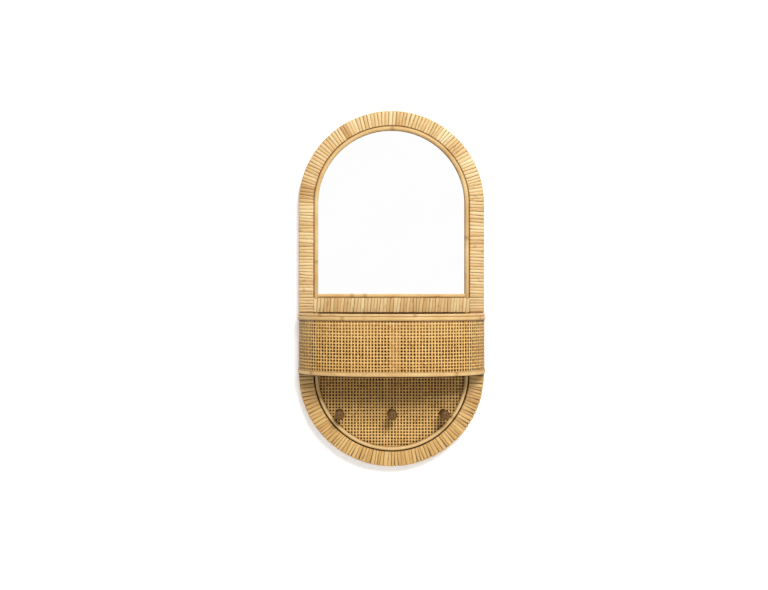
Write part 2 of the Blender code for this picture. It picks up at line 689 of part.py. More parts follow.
def build_hangers(panels, plated, steel):
    """Two strap hangers behind the mirror, with their screws and their turning rings."""
    axis_depth = BACKING_BACK + FIT + STRAP_THICKNESS + FIT + RING_WIRE / 2
    plate_back = BACKING_BACK + FIT + STRAP_THICKNESS
    for name, sign in SIDES:
        axis = Vector((sign * HANGER_SPREAD, axis_depth, HANGER_HEIGHT))
        outline = [Vector((-STRAP_WIDTH / 2, depth, height)) for depth, height in strap_outline()]
        strap = prism(name + "_hanger_strap", outline, X_AXIS * STRAP_WIDTH, plated)
        round_strap_corners(strap)
        strap.location = axis
        ring = sweep(name + "_hanger_ring", ring_stations(), round_section(0, 0, RING_WIRE), Y_AXIS, plated,
                     closed=True)
        ring.parent = strap
        for place_name, share in zip(("upper", "lower"), HANGER_SCREW_SHARES):
            height = HANGER_HEIGHT - STRAP_LENGTH * share
            under_head = Vector((sign * HANGER_SPREAD, plate_back + FIT, height))
            screw(f"{name}_hanger_{place_name}_screw", under_head, -Y_AXIS, HANGER_SCREW_LENGTH,
                  HANGER_SCREW_DIAMETER, HANGER_SCREW_HEAD_DIAMETER, HANGER_SCREW_HEAD_HEIGHT, steel)
            tip = under_head - Y_AXIS * (HANGER_SCREW_LENGTH + FIT)
            bore = HANGER_SCREW_DIAMETER + 2 * FIT
            start = under_head + Y_AXIS * OVERRUN
            hole = as_cutter(rod(f"{name}_hanger_{place_name}_hole", start, tip, bore, None))
            cut(strap, hole)
            cut(panels["mirror_backing"], hole)


def round_strap_corners(strap):
    """Round the strap's two lower corners."""
    bm = bmesh.new()
    bm.from_mesh(strap.data)
    low = min(vertex.co.z for vertex in bm.verts)
    edges = [
        edge for edge in bm.edges
        if all(vertex.co.z < low + FIT for vertex in edge.verts)
        and abs(edge.verts[0].co.x - edge.verts[1].co.x) < FIT
    ]
    bmesh.ops.bevel(
        bm, geom=edges, offset=STRAP_CORNER, segments=STRAP_CORNER_STEPS, profile=0.5, affect="EDGES")
    bm.to_mesh(strap.data)
    bm.free()


def main():
    clear_scene()
    wrap = finish_material("cane_wrap", (0.76, 0.49, 0.22), 0.45, 0.0)
    pole = finish_material("rattan_pole", (0.78, 0.50, 0.21), 0.40, 0.0)
    cane = finish_material("cane_webbing", (0.66, 0.40, 0.17), 0.50, 0.0)
    wood = finish_material("frame_wood", (0.55, 0.36, 0.18), 0.65, 0.0)
    dowel_wood = finish_material("dowel_wood", (0.66, 0.47, 0.26), 0.60, 0.0)
    board = finish_material("plain_board", (0.42, 0.26, 0.13), 0.70, 0.0)
    dark_board = finish_material("stained_board", (0.05, 0.018, 0.006), 0.70, 0.0)
    peg_wood = finish_material("peg_wood", (0.17, 0.075, 0.025), 0.40, 0.0)
    glass = finish_material("mirror_glass", (0.92, 0.93, 0.92), 0.02, 1.0)
    steel = finish_material("screw_steel", (0.52, 0.50, 0.45), 0.35, 1.0)
    plated = finish_material("plated_steel", (0.60, 0.59, 0.56), 0.28, 1.0)
    frame = build_frame(wood, wrap)
    build_trims(pole)
    panels = build_panels(glass, board, dark_board, cane)
    build_dowels(frame, dowel_wood)
    build_brads(frame, steel)
    build_pocket(frame, pole, cane, board, wood, steel)
    build_pegs(panels, peg_wood, steel)
    build_hangers(panels, plated, steel)


main()
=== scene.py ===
# %% [markdown]
# # A rattan wall organiser
# The organiser is an arch and a bow of bent wood, wound in flat cane. The arch holds a mirror, a pocket of
# woven cane bulges out below it, and three turned pegs stand on a woven panel at the bottom. The solid frame
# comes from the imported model. This file gives it the cane, the poles, the weave and the finishes, each made
# straight and flat first and then bent to its place, as a maker would.

# %% Load the frame
import math
import random

import bmesh
import bpy
import numpy as np
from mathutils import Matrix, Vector


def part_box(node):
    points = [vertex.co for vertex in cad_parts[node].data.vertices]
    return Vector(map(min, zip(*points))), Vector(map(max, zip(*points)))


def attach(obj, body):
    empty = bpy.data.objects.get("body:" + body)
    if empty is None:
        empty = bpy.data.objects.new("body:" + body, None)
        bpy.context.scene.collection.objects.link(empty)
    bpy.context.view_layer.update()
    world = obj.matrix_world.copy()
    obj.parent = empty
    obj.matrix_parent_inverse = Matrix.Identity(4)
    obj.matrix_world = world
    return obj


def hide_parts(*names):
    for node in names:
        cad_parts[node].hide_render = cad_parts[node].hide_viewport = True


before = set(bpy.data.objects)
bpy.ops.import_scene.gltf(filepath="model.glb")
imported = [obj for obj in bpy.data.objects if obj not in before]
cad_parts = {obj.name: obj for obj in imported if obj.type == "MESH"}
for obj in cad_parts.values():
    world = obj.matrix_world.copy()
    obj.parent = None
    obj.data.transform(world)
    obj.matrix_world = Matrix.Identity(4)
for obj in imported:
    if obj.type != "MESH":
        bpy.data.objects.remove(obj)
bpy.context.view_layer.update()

# %% [markdown]
# ## The camera
# The camera stands two metres from the wall, a little to the left of the organiser, and looks straight at
# the wall, so upright lines stay upright. A small shift frames the picture, because turning the camera would
# make the sides of the frame converge.

# %% Camera
PICTURE_WIDTH = 768
PICTURE_HEIGHT = 590
FOCAL_LENGTH_PIXELS = 1021
STRAIGHT_AHEAD_PIXEL = (324, 285)
CAMERA_PLACE = (-0.131, -2.0, 0.0385)

bpy.ops.object.select_all(action="DESELECT")
bpy.ops.object.camera_add(location=CAMERA_PLACE, rotation=(math.pi / 2, 0, 0))
camera = bpy.context.object
camera.data.lens = camera.data.sensor_width * FOCAL_LENGTH_PIXELS / PICTURE_WIDTH
camera.data.shift_x = (PICTURE_WIDTH / 2 - STRAIGHT_AHEAD_PIXEL[0]) / PICTURE_WIDTH
camera.data.shift_y = (STRAIGHT_AHEAD_PIXEL[1] - PICTURE_HEIGHT / 2) / PICTURE_WIDTH
bpy.context.scene.camera = camera
bpy.context.scene.view_settings.view_transform = "Standard"
print("lens", round(camera.data.lens, 2), "mm")

# %% [markdown]
# ## Helpers for shader nodes
# Materials below are built from nodes. Two short helpers keep each one readable: one adds any node and
# plugs in its values or links, and one adds a Math node and hands back its result.

# %% Node helpers
def plug(tree, socket, value):
    """Link a socket to another one, or give it a plain value."""
    if isinstance(value, bpy.types.NodeSocket):
        tree.links.new(value, socket)
    else:
        socket.default_value = value


def add_node(tree, kind, sockets=None, **settings):
    """Add a node, set its own settings, and give its sockets values or links."""
    made = tree.nodes.new(kind)
    for key, value in settings.items():
        setattr(made, key, value)
    for key, value in (sockets or {}).items():
        plug(tree, made.inputs[key], value)
    return made


def maths(tree, operation, *values, clamp=False):
    """Add a Math node and return its output."""
    made = add_node(tree, "ShaderNodeMath", dict(enumerate(values)), operation=operation, use_clamp=clamp)
    return made.outputs[0]


def ramp(tree, factor, *stops):
    """Add a Color Ramp through (position, colour) stops and return its colour."""
    made = add_node(tree, "ShaderNodeValToRGB", {"Fac": factor})
    while len(made.color_ramp.elements) < len(stops):
        made.color_ramp.elements.new(0.5)
    for element, (position, colour) in zip(made.color_ramp.elements, stops):
        element.position = position
        element.color = (*colour, 1)
    return made.outputs["Color"]


def blend_colours(tree, factor, first, second, how="MIX"):
    """Add a colour Mix node and return its result."""
    first, second = [colour if isinstance(colour, bpy.types.NodeSocket) else (*colour, 1)
                     for colour in (first, second)]
    made = add_node(tree, "ShaderNodeMix", {0: factor, 6: first, 7: second}, data_type="RGBA", blend_type=how)
    return made.outputs[2]


def new_material(name, slot):
    """Make a node material that stands for a slot, and return it with its tree and its shader."""
    material = bpy.data.materials.new(name)
    material.use_nodes = True
    material["slot"] = slot
    tree = material.node_tree
    return material, tree, tree.nodes["Principled BSDF"]


def new_group(name, inputs, outputs):
    """Make a shader node group with number inputs and outputs, and return it with its two ends."""
    tree = bpy.data.node_groups.new(name, "ShaderNodeTree")
    for key, value in inputs:
        tree.interface.new_socket(key, in_out="INPUT", socket_type="NodeSocketFloat").default_value = value
    for key in outputs:
        tree.interface.new_socket(key, in_out="OUTPUT", socket_type="NodeSocketFloat")
    return tree, tree.nodes.new("NodeGroupInput"), tree.nodes.new("NodeGroupOutput")


def set_sockets(tree, node, **values):
    """Give a node's sockets values or links, and return it. Underscores in the names stand for spaces."""
    for key, value in values.items():
        plug(tree, node.inputs[key.replace("_", " ")], value)
    return node


def use_group(tree, group, **values):
    """Place a node group in a material."""
    return set_sockets(tree, add_node(tree, "ShaderNodeGroup", node_tree=group), **values)


def bumped(tree, height, depth):
    """Turn a height from 0 to 1 into a normal, for relief of a real depth in metres."""
    return add_node(tree, "ShaderNodeBump", {"Height": height, "Distance": depth}).outputs["Normal"]


def noise(tree, place, detail, scale=1.0, distortion=0.0):
    """Add a Noise texture over a place and return its value."""
    return add_node(tree, "ShaderNodeTexNoise", {"Vector": place, "Scale": scale, "Detail": detail,
                                                 "Distortion": distortion}).outputs["Fac"]


def noise_line(tree, way, detail):
    """Add a Noise texture along a single number and return its value."""
    return add_node(tree, "ShaderNodeTexNoise", {"W": way, "Scale": 1.0, "Detail": detail},
                    noise_dimensions="1D").outputs["Fac"]


def map_range(tree, value, start, end, top=1.0, **settings):
    """Turn the stretch from start to end into 0 to top, and return the result."""
    return add_node(tree, "ShaderNodeMapRange", {"Value": value, "From Min": start, "From Max": end,
                                                 "To Max": top}, **settings).outputs["Result"]


def object_place(tree):
    """Where a point lies on its piece, in metres."""
    return add_node(tree, "ShaderNodeTexCoord").outputs["Object"]


def parts_of(tree, vector):
    """The X, Y and Z of a vector."""
    return add_node(tree, "ShaderNodeSeparateXYZ", {"Vector": vector}).outputs


def stretched(tree, vector, amounts):
    """A vector with each of its parts multiplied."""
    return add_node(tree, "ShaderNodeVectorMath", {0: vector, 1: amounts}, operation="MULTIPLY").outputs[0]


# %% [markdown]
# ## Wall, floor and light
# The organiser hangs on a white wall. The wall is see-through from behind, so the back of the organiser can
# be looked at, and shadow rays pass it, so that a lamp behind it lights that back. One large soft lamp high
# on the right gives the shade under the pocket, which painted shade on the panel deepens, and the world
# fills in the rest.

# %% Wall and floor
WALL_GAP = 0.0005
ROOM_WIDTH = 7.0
FLOOR_DROP = 1.35


def looked_at(tree, light_path):
    """1 for rays from the camera, a mirror or glass, and 0 for all others."""
    seen = maths(tree, "MAXIMUM", light_path.outputs["Is Camera Ray"], light_path.outputs["Is Glossy Ray"])
    return maths(tree, "MAXIMUM", seen, light_path.outputs["Is Transmission Ray"])


def backdrop_material(name, colour, lift, see_through):
    """A plain pale surface that looks white to the camera and still takes shadows."""
    material, tree, shader = new_material(name, "")
    light_path = tree.nodes.new("ShaderNodeLightPath")
    set_sockets(tree, shader, Base_Color=(*colour, 1), Roughness=0.9, Specular_IOR_Level=0.0,
                Emission_Color=(1, 1, 1, 1),
                Emission_Strength=maths(tree, "MULTIPLY", looked_at(tree, light_path), lift))
    if see_through:
        behind = tree.nodes.new("ShaderNodeNewGeometry").outputs["Backfacing"]
        hidden = maths(tree, "MAXIMUM", behind, light_path.outputs["Is Shadow Ray"])
        clear = tree.nodes.new("ShaderNodeBsdfTransparent")
        either = add_node(tree, "ShaderNodeMixShader",
                          {0: hidden, 1: shader.outputs[0], 2: clear.outputs[0]})
        tree.links.new(either.outputs[0], tree.nodes["Material Output"].inputs["Surface"])
    return material


bpy.ops.mesh.primitive_plane_add(size=ROOM_WIDTH, location=(0, WALL_GAP, 0), rotation=(math.pi / 2, 0, 0))
wall = bpy.context.object
wall.name = "wall"
wall.data.materials.append(backdrop_material("white_wall", (0.94, 0.94, 0.94), 0.34, True))
bpy.ops.mesh.primitive_plane_add(size=ROOM_WIDTH, location=(0, 0, -FLOOR_DROP))
floor = bpy.context.object
floor.name = "floor"
floor.data.materials.append(backdrop_material("pale_floor", (0.80, 0.79, 0.77), 0.12, False))
print("wall and floor", wall.dimensions[:], floor.dimensions[:])

# %% [markdown]
# ## The lamps
# The strong lamp stands high on the right in front, a weak one fills in from the left, and a third stands
# behind the wall for the views of the back. Each is turned to face the middle of the organiser.

# %% Light
WORLD_FILL = 0.24
LAMPS = (
    ("high right lamp", (0.75, -2.9, 2.05), 1.3, 120),
    ("left fill lamp", (-1.6, -2.0, 0.4), 1.4, 1.2),
    ("lamp behind the wall", (0.5, 1.9, 0.9), 1.0, 24),
)
for name, place, size, power in LAMPS:
    turn = (Vector((0, 0, 0.03)) - Vector(place)).to_track_quat("-Z", "Y").to_euler()
    bpy.ops.object.light_add(type="AREA", location=place, rotation=turn)
    lamp = bpy.context.object
    lamp.name = name
    lamp.data.size = size
    lamp.data.energy = power
world = bpy.context.scene.world or bpy.data.worlds.new("room")
bpy.context.scene.world = world
world.use_nodes = True
sky = world.node_tree
sky.nodes.clear()
seen = looked_at(sky, sky.nodes.new("ShaderNodeLightPath"))
strength = maths(sky, "ADD", maths(sky, "MULTIPLY", seen, 1 - WORLD_FILL), WORLD_FILL)
background = add_node(sky, "ShaderNodeBackground", {"Color": (1, 1, 1, 1), "Strength": strength})
add_node(sky, "ShaderNodeOutputWorld", {"Surface": background.outputs[0]})
print("lamps", [lamp[0] for lamp in LAMPS])

# %% [markdown]
# ## Helpers for modelling
# An operator acts on all that is selected, so each step first selects one thing only. In edit mode the
# faces, edges or corners are picked by a rule on their place, which is what a maker does by eye.

# %% Modelling helpers
def only(thing):
    """Select one object and nothing else."""
    bpy.ops.object.select_all(action="DESELECT")
    thing.select_set(True)
    bpy.context.view_layer.objects.active = thing


def pick(kind, rule):
    """In edit mode, select just the corners (VERT), edges (EDGE) or faces (FACE) that a rule accepts."""
    bpy.ops.mesh.select_mode(type=kind)
    bpy.ops.mesh.select_all(action="DESELECT")
    mesh = bmesh.from_edit_mesh(bpy.context.object.data)
    parts = {"VERT": mesh.verts, "EDGE": mesh.edges, "FACE": mesh.faces}[kind]
    for part in parts:
        part.select = rule(part)
    mesh.select_flush_mode()
    bmesh.update_edit_mesh(bpy.context.object.data)


def apply_modifier(thing, kind, **settings):
    """Add a modifier, set it, and apply it."""
    modifier = thing.modifiers.new(kind, kind)
    for key, value in settings.items():
        setattr(modifier, key, value)
    only(thing)
    bpy.ops.object.modifier_apply(modifier=modifier.name)


def edit_all(thing):
    """Go into edit mode on an object with everything in it selected."""
    only(thing)
    bpy.ops.object.mode_set(mode="EDIT")
    bpy.ops.mesh.select_all(action="SELECT")


def settle(thing):
    """Move an object's place, turn and scale into its mesh, so that the object sits at the origin."""
    only(thing)
    bpy.ops.object.transform_apply(location=True, rotation=True, scale=True)


def set_down(thing, place=(0, 0, 0), turn=(0, 0, 0)):
    """Put an object in its place, turned, and settle it there."""
    thing.location = place
    thing.rotation_euler = turn
    settle(thing)


def smooth(thing, angle):
    """Shade a piece smoothly across edges that bend by less than an angle in degrees."""
    only(thing)
    bpy.ops.object.shade_smooth_by_angle(angle=math.radians(angle))


def corners(thing):
    """An object's corner points as an array."""
    flat = np.empty(len(thing.data.vertices) * 3)
    thing.data.vertices.foreach_get("co", flat)
    return flat.reshape(-1, 3)


def move_corners(thing, points):
    """Put an object's corner points at new places."""
    thing.data.vertices.foreach_set("co", np.ascontiguousarray(points, dtype=np.float32).ravel())
    thing.data.update()


def mark_corners(thing, name, values):
    """Store a number at each corner, for a material to read."""
    thing.data.attributes.new(name, "FLOAT", "POINT").data.foreach_set("value", values.astype(np.float32))


def near(values, middle, reach):
    """1 at the middle, falling softly to almost 0 at twice the reach."""
    return np.exp(-((values - middle) / reach) ** 2)


def run_map(thing):
    """The UV map that the materials read, made where there is none."""
    layer = thing.data.uv_layers.active or thing.data.uv_layers.new()
    layer.name = "run"
    return layer


def map_round(thing, middle, rule):
    """Map a piece that lies along +X by a rule on how far along and at what angle round it a corner is."""
    layer = run_map(thing)
    for face in thing.data.polygons:
        spots = [thing.data.vertices[index].co for index in face.vertices]
        angles = [math.atan2(spot.z - middle, spot.y) for spot in spots]
        wraps = max(angles) - min(angles) > math.pi
        for loop, spot, angle in zip(face.loop_indices, spots, angles):
            angle += math.tau if wraps and angle < 0 else 0
            layer.data[loop].uv = rule(spot.x, angle, wraps)


def twin(thing, name):
    """Copy an object with a mesh of its own."""
    made = thing.copy()
    made.data = thing.data.copy()
    made.name = made.data.name = name
    bpy.context.scene.collection.objects.link(made)
    return made


def joined(name, things):
    """Join objects into one."""
    only(things[0])
    for thing in things[1:]:
        thing.select_set(True)
    bpy.ops.object.join()
    things[0].name = things[0].data.name = name
    return things[0]


def finish_piece(thing, body, material, *nodes):
    """Give a piece its material and its slot, let it ride on a body, and let it stand for solid nodes."""
    thing.data.materials.clear()
    thing.data.materials.append(material)
    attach(thing, body)
    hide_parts(*nodes)
    box = [round(value * 1000, 1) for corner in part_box(nodes[0]) for value in corner]
    points = corners(thing)
    own = [round(value * 1000, 1) for value in (*points.min(0), *points.max(0))]
    print(thing.name, len(thing.data.polygons), "faces, box in mm", own, "solid", box)


# %% [markdown]
# ## Formers
# The arch, the bow and the pocket's rim are curves to bend things round. Each is drawn flat on the ground.
# A straight piece laid along +X is then bent round it by a Curve modifier, which keeps a piece's width and
# thickness and only bends its length. The half rounds are Bezier curves, and the pocket's plan is a
# superellipse, fuller at its corners than an ellipse, so it is drawn through computed points.

# %% Sizes of the frame, in metres
HALF_WIDTH = 0.180
BAND_WIDTH = 0.0292
BAND_DEPTH = 0.022
BAND_ROUNDING = 0.0022
BAR_HALF = 0.014
ARCH_SPRING = 0.1965
BOW_SPRING = -0.1335
BAND_MIDDLE = HALF_WIDTH - BAND_WIDTH / 2
BAND_INNER = HALF_WIDTH - BAND_WIDTH
POCKET_HALF_WIDTH = 0.1812
POCKET_DEPTH = 0.1135
POCKET_POWER = 2.6
POCKET_START = 0.0223
FORMER_START = 0.0180
FIT = 0.0003

# %% Draw the formers
QUARTER_HANDLE = 0.5523


def half_round_former(name, radius, foot, spring):
    """A leg, a half round and a leg, with the outside always on the left of the way it runs."""
    side = -1 if spring > foot else 1
    reach = radius if spring > foot else -radius
    third = (spring - foot) / 3
    knots = [(side * radius, foot), (side * radius, spring), (0, spring + reach),
             (-side * radius, spring), (-side * radius, foot)]
    up, across = (0, reach * QUARTER_HANDLE), (radius * QUARTER_HANDLE, 0)
    leg, left = (0, third), (side * across[0], 0)
    arms = [(minus(leg), leg), (minus(leg), up), (left, minus(left)), (up, minus(leg)), (leg, minus(leg))]
    data = bpy.data.curves.new(name, "CURVE")
    data.dimensions = "2D"
    data.resolution_u = 48
    spline = data.splines.new("BEZIER")
    spline.bezier_points.add(len(knots) - 1)
    for point, (x, y), (before, after) in zip(spline.bezier_points, knots, arms):
        point.handle_left_type = point.handle_right_type = "FREE"
        point.co = (x, y, 0)
        point.handle_left = (x + before[0], y + before[1], 0)
        point.handle_right = (x + after[0], y + after[1], 0)
    return add_former(name, data)


def minus(arm):
    return (-arm[0], -arm[1])


def pocket_former(name, steps):
    """The pocket's plan, from its right end round the front to its left end."""
    start = math.asin((FORMER_START / POCKET_DEPTH) ** (POCKET_POWER / 2))
    data = bpy.data.curves.new(name, "CURVE")
    data.dimensions = "2D"
    spline = data.splines.new("POLY")
    spline.points.add(steps)
    for step, point in enumerate(spline.points):
        angle = start + (math.pi - 2 * start) * step / steps
        across = math.copysign(abs(math.cos(angle)) ** (2 / POCKET_POWER), math.cos(angle))
        forward = math.sin(angle) ** (2 / POCKET_POWER)
        point.co = (across * POCKET_HALF_WIDTH, -forward * POCKET_DEPTH, 0, 1)
    return add_former(name, data)


def add_former(name, data):
    former = bpy.data.objects.new(name, data)
    bpy.context.scene.collection.objects.link(former)
    former.hide_render = True
    return former


def former_length(former):
    """The length of a former's line."""
    points = former.evaluated_get(bpy.context.evaluated_depsgraph_get()).to_mesh().vertices
    return sum((after.co - before.co).length for before, after in zip(points, points[1:]))


def bend(thing, former):
    """Bend a straight piece round a former."""
    apply_modifier(thing, "CURVE", object=former, deform_axis="POS_X")


def stand_up(thing):
    """Turn a piece from lying on the ground, front up, to standing against the wall, front out."""
    set_down(thing, turn=(math.pi / 2, 0, 0))


arch_former = half_round_former("arch_former", BAND_MIDDLE, BAR_HALF + FIT, ARCH_SPRING)
bow_former = half_round_former("bow_former", BAND_MIDDLE, -BAR_HALF - FIT, BOW_SPRING)
plan_former = pocket_former("plan_former", 160)
for former in (arch_former, bow_former, plan_former):
    print(former.name, round(former_length(former), 4), "m")

# %% [markdown]
# ## The look of cane
# Cane is the shiny skin of the rattan vine, split into strips. Each strip has its own tone, from straw to
# honey, fine fibres along it, and edges darkened where it meets the next: painted shade in the groove, with
# some dirt. The strips carry a UV map that says how far along (U) and which strip and how far across it (V),
# so the whole number in V picks the tone. Two node groups make the tone and the fibres once, for every cane
# and pole material here.

# %% Node group: the tone of each strip
def make_strip_tone():
    """Which strip, how far across it, its own tone, and how near its edge."""
    tree, start, end = new_group(
        "strip_tone", (("Strip", 0.0), ("Seed", 0.0), ("Drift", 0.12), ("Spread", 0.3)),
        ("Number", "Across", "Tone", "Edge", "Seam"))
    strip = start.outputs["Strip"]
    number = maths(tree, "FLOOR", strip)
    across = maths(tree, "FRACT", strip)
    own = add_node(tree, "ShaderNodeTexWhiteNoise", {"W": maths(tree, "ADD", number, start.outputs["Seed"])},
                   noise_dimensions="1D").outputs["Value"]
    drift_at = maths(tree, "MULTIPLY_ADD", number, start.outputs["Drift"], start.outputs["Seed"])
    drift = noise_line(tree, drift_at, 1.0)
    tone = maths(tree, "SUBTRACT", maths(tree, "MULTIPLY_ADD", drift, 0.9, own), 0.95)
    tone = maths(tree, "MULTIPLY_ADD", tone, start.outputs["Spread"], 0.5)
    nearest = maths(tree, "FLOOR", maths(tree, "ADD", strip, 0.5))
    seam = add_node(tree, "ShaderNodeTexWhiteNoise", {"W": maths(tree, "MULTIPLY_ADD", nearest, 1.0, 0.37)},
                    noise_dimensions="1D").outputs["Value"]
    edge = maths(tree, "ABSOLUTE", maths(tree, "MULTIPLY_ADD", across, 2.0, -1.0))
    for key, value in (("Number", number), ("Across", across), ("Tone", tone), ("Edge", edge),
                       ("Seam", seam)):
        tree.links.new(value, end.inputs[key])
    return tree


strip_tone = make_strip_tone()
print("group", strip_tone.name, [item.name for item in strip_tone.interface.items_tree])


# %% Node group: fibres along a strip or a pole
def make_fibres():
    """Long streaks, fine pores and the odd brown stain, stretched along the fibres."""
    tree, start, end = new_group(
        "fibres", (("Along", 0.0), ("Across", 0.0), ("Number", 0.0), ("Streak Length", 0.02),
                   ("Streaks", 14.0)), ("Streak", "Fine", "Stain"))
    along = maths(tree, "DIVIDE", start.outputs["Along"], start.outputs["Streak Length"])
    across = maths(tree, "MULTIPLY", start.outputs["Across"], start.outputs["Streaks"])
    layer = maths(tree, "MULTIPLY", start.outputs["Number"], 7.31)
    place = add_node(tree, "ShaderNodeCombineXYZ", {"X": along, "Y": across, "Z": layer}).outputs[0]
    streak = noise(tree, place, 3.0)
    fine = noise(tree, stretched(tree, place, (3.0, 4.0, 1.0)), 2.0)
    stain = map_range(tree, noise(tree, stretched(tree, place, (1.1, 0.12, 1.0)), 1.0), 0.62, 0.74)
    for key, value in (("Streak", streak), ("Fine", fine), ("Stain", stain)):
        tree.links.new(value, end.inputs[key])
    return tree


fibres = make_fibres()
print("group", fibres.name, [item.name for item in fibres.interface.items_tree])


# %% Colours of cane, and helpers for both its materials
PALE_STRAW = (0.92, 0.72, 0.40)
STRAW = (0.82, 0.575, 0.27)
HONEY = (0.71, 0.45, 0.18)
AMBER = (0.56, 0.31, 0.10)
TAN_BROWN = (0.36, 0.175, 0.05)
# The seam colour: painted shade where strips meet one another or other pieces, with some dirt.
SEAM_SHADE_BROWN = (0.13, 0.055, 0.014)
TONE_STEPS = (0.0, 0.2, 0.45, 0.7, 1.0)
CREVICE_SHADE_STRENGTH = 0.93


def uv_parts(tree):
    """The two numbers of the UV map: how far along, and which strip and how far across it."""
    parts = parts_of(tree, add_node(tree, "ShaderNodeUVMap", uv_map="run").outputs["UV"])
    return parts["X"], parts["Y"]


def attribute(tree, name):
    """A number that the piece carries at each of its corners."""
    return add_node(tree, "ShaderNodeAttribute", attribute_name=name).outputs["Fac"]


def paint_crevice_shade(tree, colour):
    """Paint shade onto a colour where a corner is marked as touching its neighbour, where light hardly
    reaches.
    """
    depth = maths(tree, "MULTIPLY", attribute(tree, "crevice_shade"), CREVICE_SHADE_STRENGTH)
    return blend_colours(tree, depth, colour, SEAM_SHADE_BROWN)


def pocket_shade(tree, colour, outside, inside):
    """Paint shadow on what lies behind the pocket, from one depth to another and darker further down, which
    keeps the pocket's holes dark.
    """
    place = parts_of(tree, object_place(tree))
    painted_shadow = ramp(tree, maths(tree, "MULTIPLY_ADD", place["Z"], 8.0, 1.1),
                   (0.0, (1, 1, 1)), (0.035, (0.05, 0.028, 0.014)), (0.5, (0.07, 0.04, 0.02)),
                   (0.72, (0.25, 0.17, 0.10)), (0.9, (0.55, 0.44, 0.32)))
    shade = blend_colours(tree, map_range(tree, place["Y"], outside, inside), (1, 1, 1), painted_shadow)
    return blend_colours(tree, 1.0, colour, shade, "MULTIPLY")


# %% The cane material
STAIN_STRENGTH = 0.55
CANE_RELIEF = 0.00012


def cane_material(name, slot, colours, seed, spread, drift=0.12, edge_start=0.5, seam_strength=0.95,
                  streaks=14.0, tone_shift=0.12, gloss=0.32, mottle=0.5, patch=0.02, shaded=None):
    """Strips of cane: a tone for each strip, fibres along it, and painted shade with some dirt at the edges
    where it meets the next.
    """
    material, tree, shader = new_material(name, slot)
    along, strip = uv_parts(tree)
    tone = use_group(tree, strip_tone, Strip=strip, Seed=seed, Drift=drift, Spread=spread)
    grain = use_group(tree, fibres, Along=along, Across=tone.outputs["Across"],
                      Number=tone.outputs["Number"], Streak_Length=patch, Streaks=streaks)
    shade = maths(tree, "MULTIPLY_ADD", grain.outputs["Streak"], mottle, tone_shift - mottle / 2)
    # The amount stored at each corner darkens it, or lightens it when negative: real tone on some of the
    # arch's strips, painted shade and highlight elsewhere.
    shade = maths(tree, "SUBTRACT", shade, attribute(tree, "tone_and_painted_light"))
    shade = maths(tree, "ADD", tone.outputs["Tone"], shade, clamp=True)
    stain = maths(tree, "MULTIPLY", grain.outputs["Stain"], STAIN_STRENGTH)
    colour = blend_colours(tree, stain, ramp(tree, shade, *zip(TONE_STEPS, colours)), TAN_BROWN)
    # The strips' edges blend towards the seam colour: painted shade in the grooves between strips, with some
    # dirt.
    edge = map_range(tree, tone.outputs["Edge"], edge_start, 1.0, interpolation_type="SMOOTHSTEP")
    depth = maths(tree, "MULTIPLY", maths(tree, "MULTIPLY_ADD", tone.outputs["Seam"], 0.6, 0.4), seam_strength)
    colour = blend_colours(tree, maths(tree, "MULTIPLY", edge, depth), colour, SEAM_SHADE_BROWN)
    colour = paint_crevice_shade(tree, colour)
    # Behind the pocket a shadow is painted on.
    if shaded:
        colour = pocket_shade(tree, colour, *shaded)
    relief = maths(tree, "ADD", grain.outputs["Streak"], maths(tree, "MULTIPLY", grain.outputs["Fine"], 0.4))
    set_sockets(tree, shader, Base_Color=colour, Normal=bumped(tree, relief, CANE_RELIEF),
                Roughness=maths(tree, "MULTIPLY_ADD", grain.outputs["Fine"], 0.25, 0.30),
                Specular_IOR_Level=gloss, Coat_Weight=gloss / 5, Coat_Roughness=0.3)
    return material


wound_cane = cane_material("wound_cane", "cane_wrap", (TAN_BROWN, AMBER, HONEY, STRAW, PALE_STRAW), 3.7, 0.38)
# The bow's cane and the woven cane get a painted shadow where they lie behind the pocket.
honey_cane = cane_material("wound_honey_cane", "cane_wrap", (
    TAN_BROWN, (0.48, 0.23, 0.06), (0.62, 0.35, 0.11), (0.74, 0.46, 0.165), (0.84, 0.58, 0.25)),
    6.2, 0.34, shaded=(-0.0185, -0.0205))
woven_cane = cane_material("woven_cane", "cane_webbing", (
    (0.35, 0.14, 0.03), (0.53, 0.25, 0.065), (0.72, 0.40, 0.12), (0.86, 0.54, 0.19), (0.95, 0.68, 0.31)),
    11.3, 0.12, drift=0.25, edge_start=0.6, seam_strength=0.5, streaks=1.5, tone_shift=0.0,
    gloss=0.15, mottle=1.1, patch=0.012, shaded=(-0.0210, -0.0205))
print("cane", wound_cane.name, honey_cane.name, woven_cane.name)

# %% The pole material
KNUCKLE_STRENGTH = 0.7
POLE_STAIN = 0.35
POLE_RELIEF = 0.0001


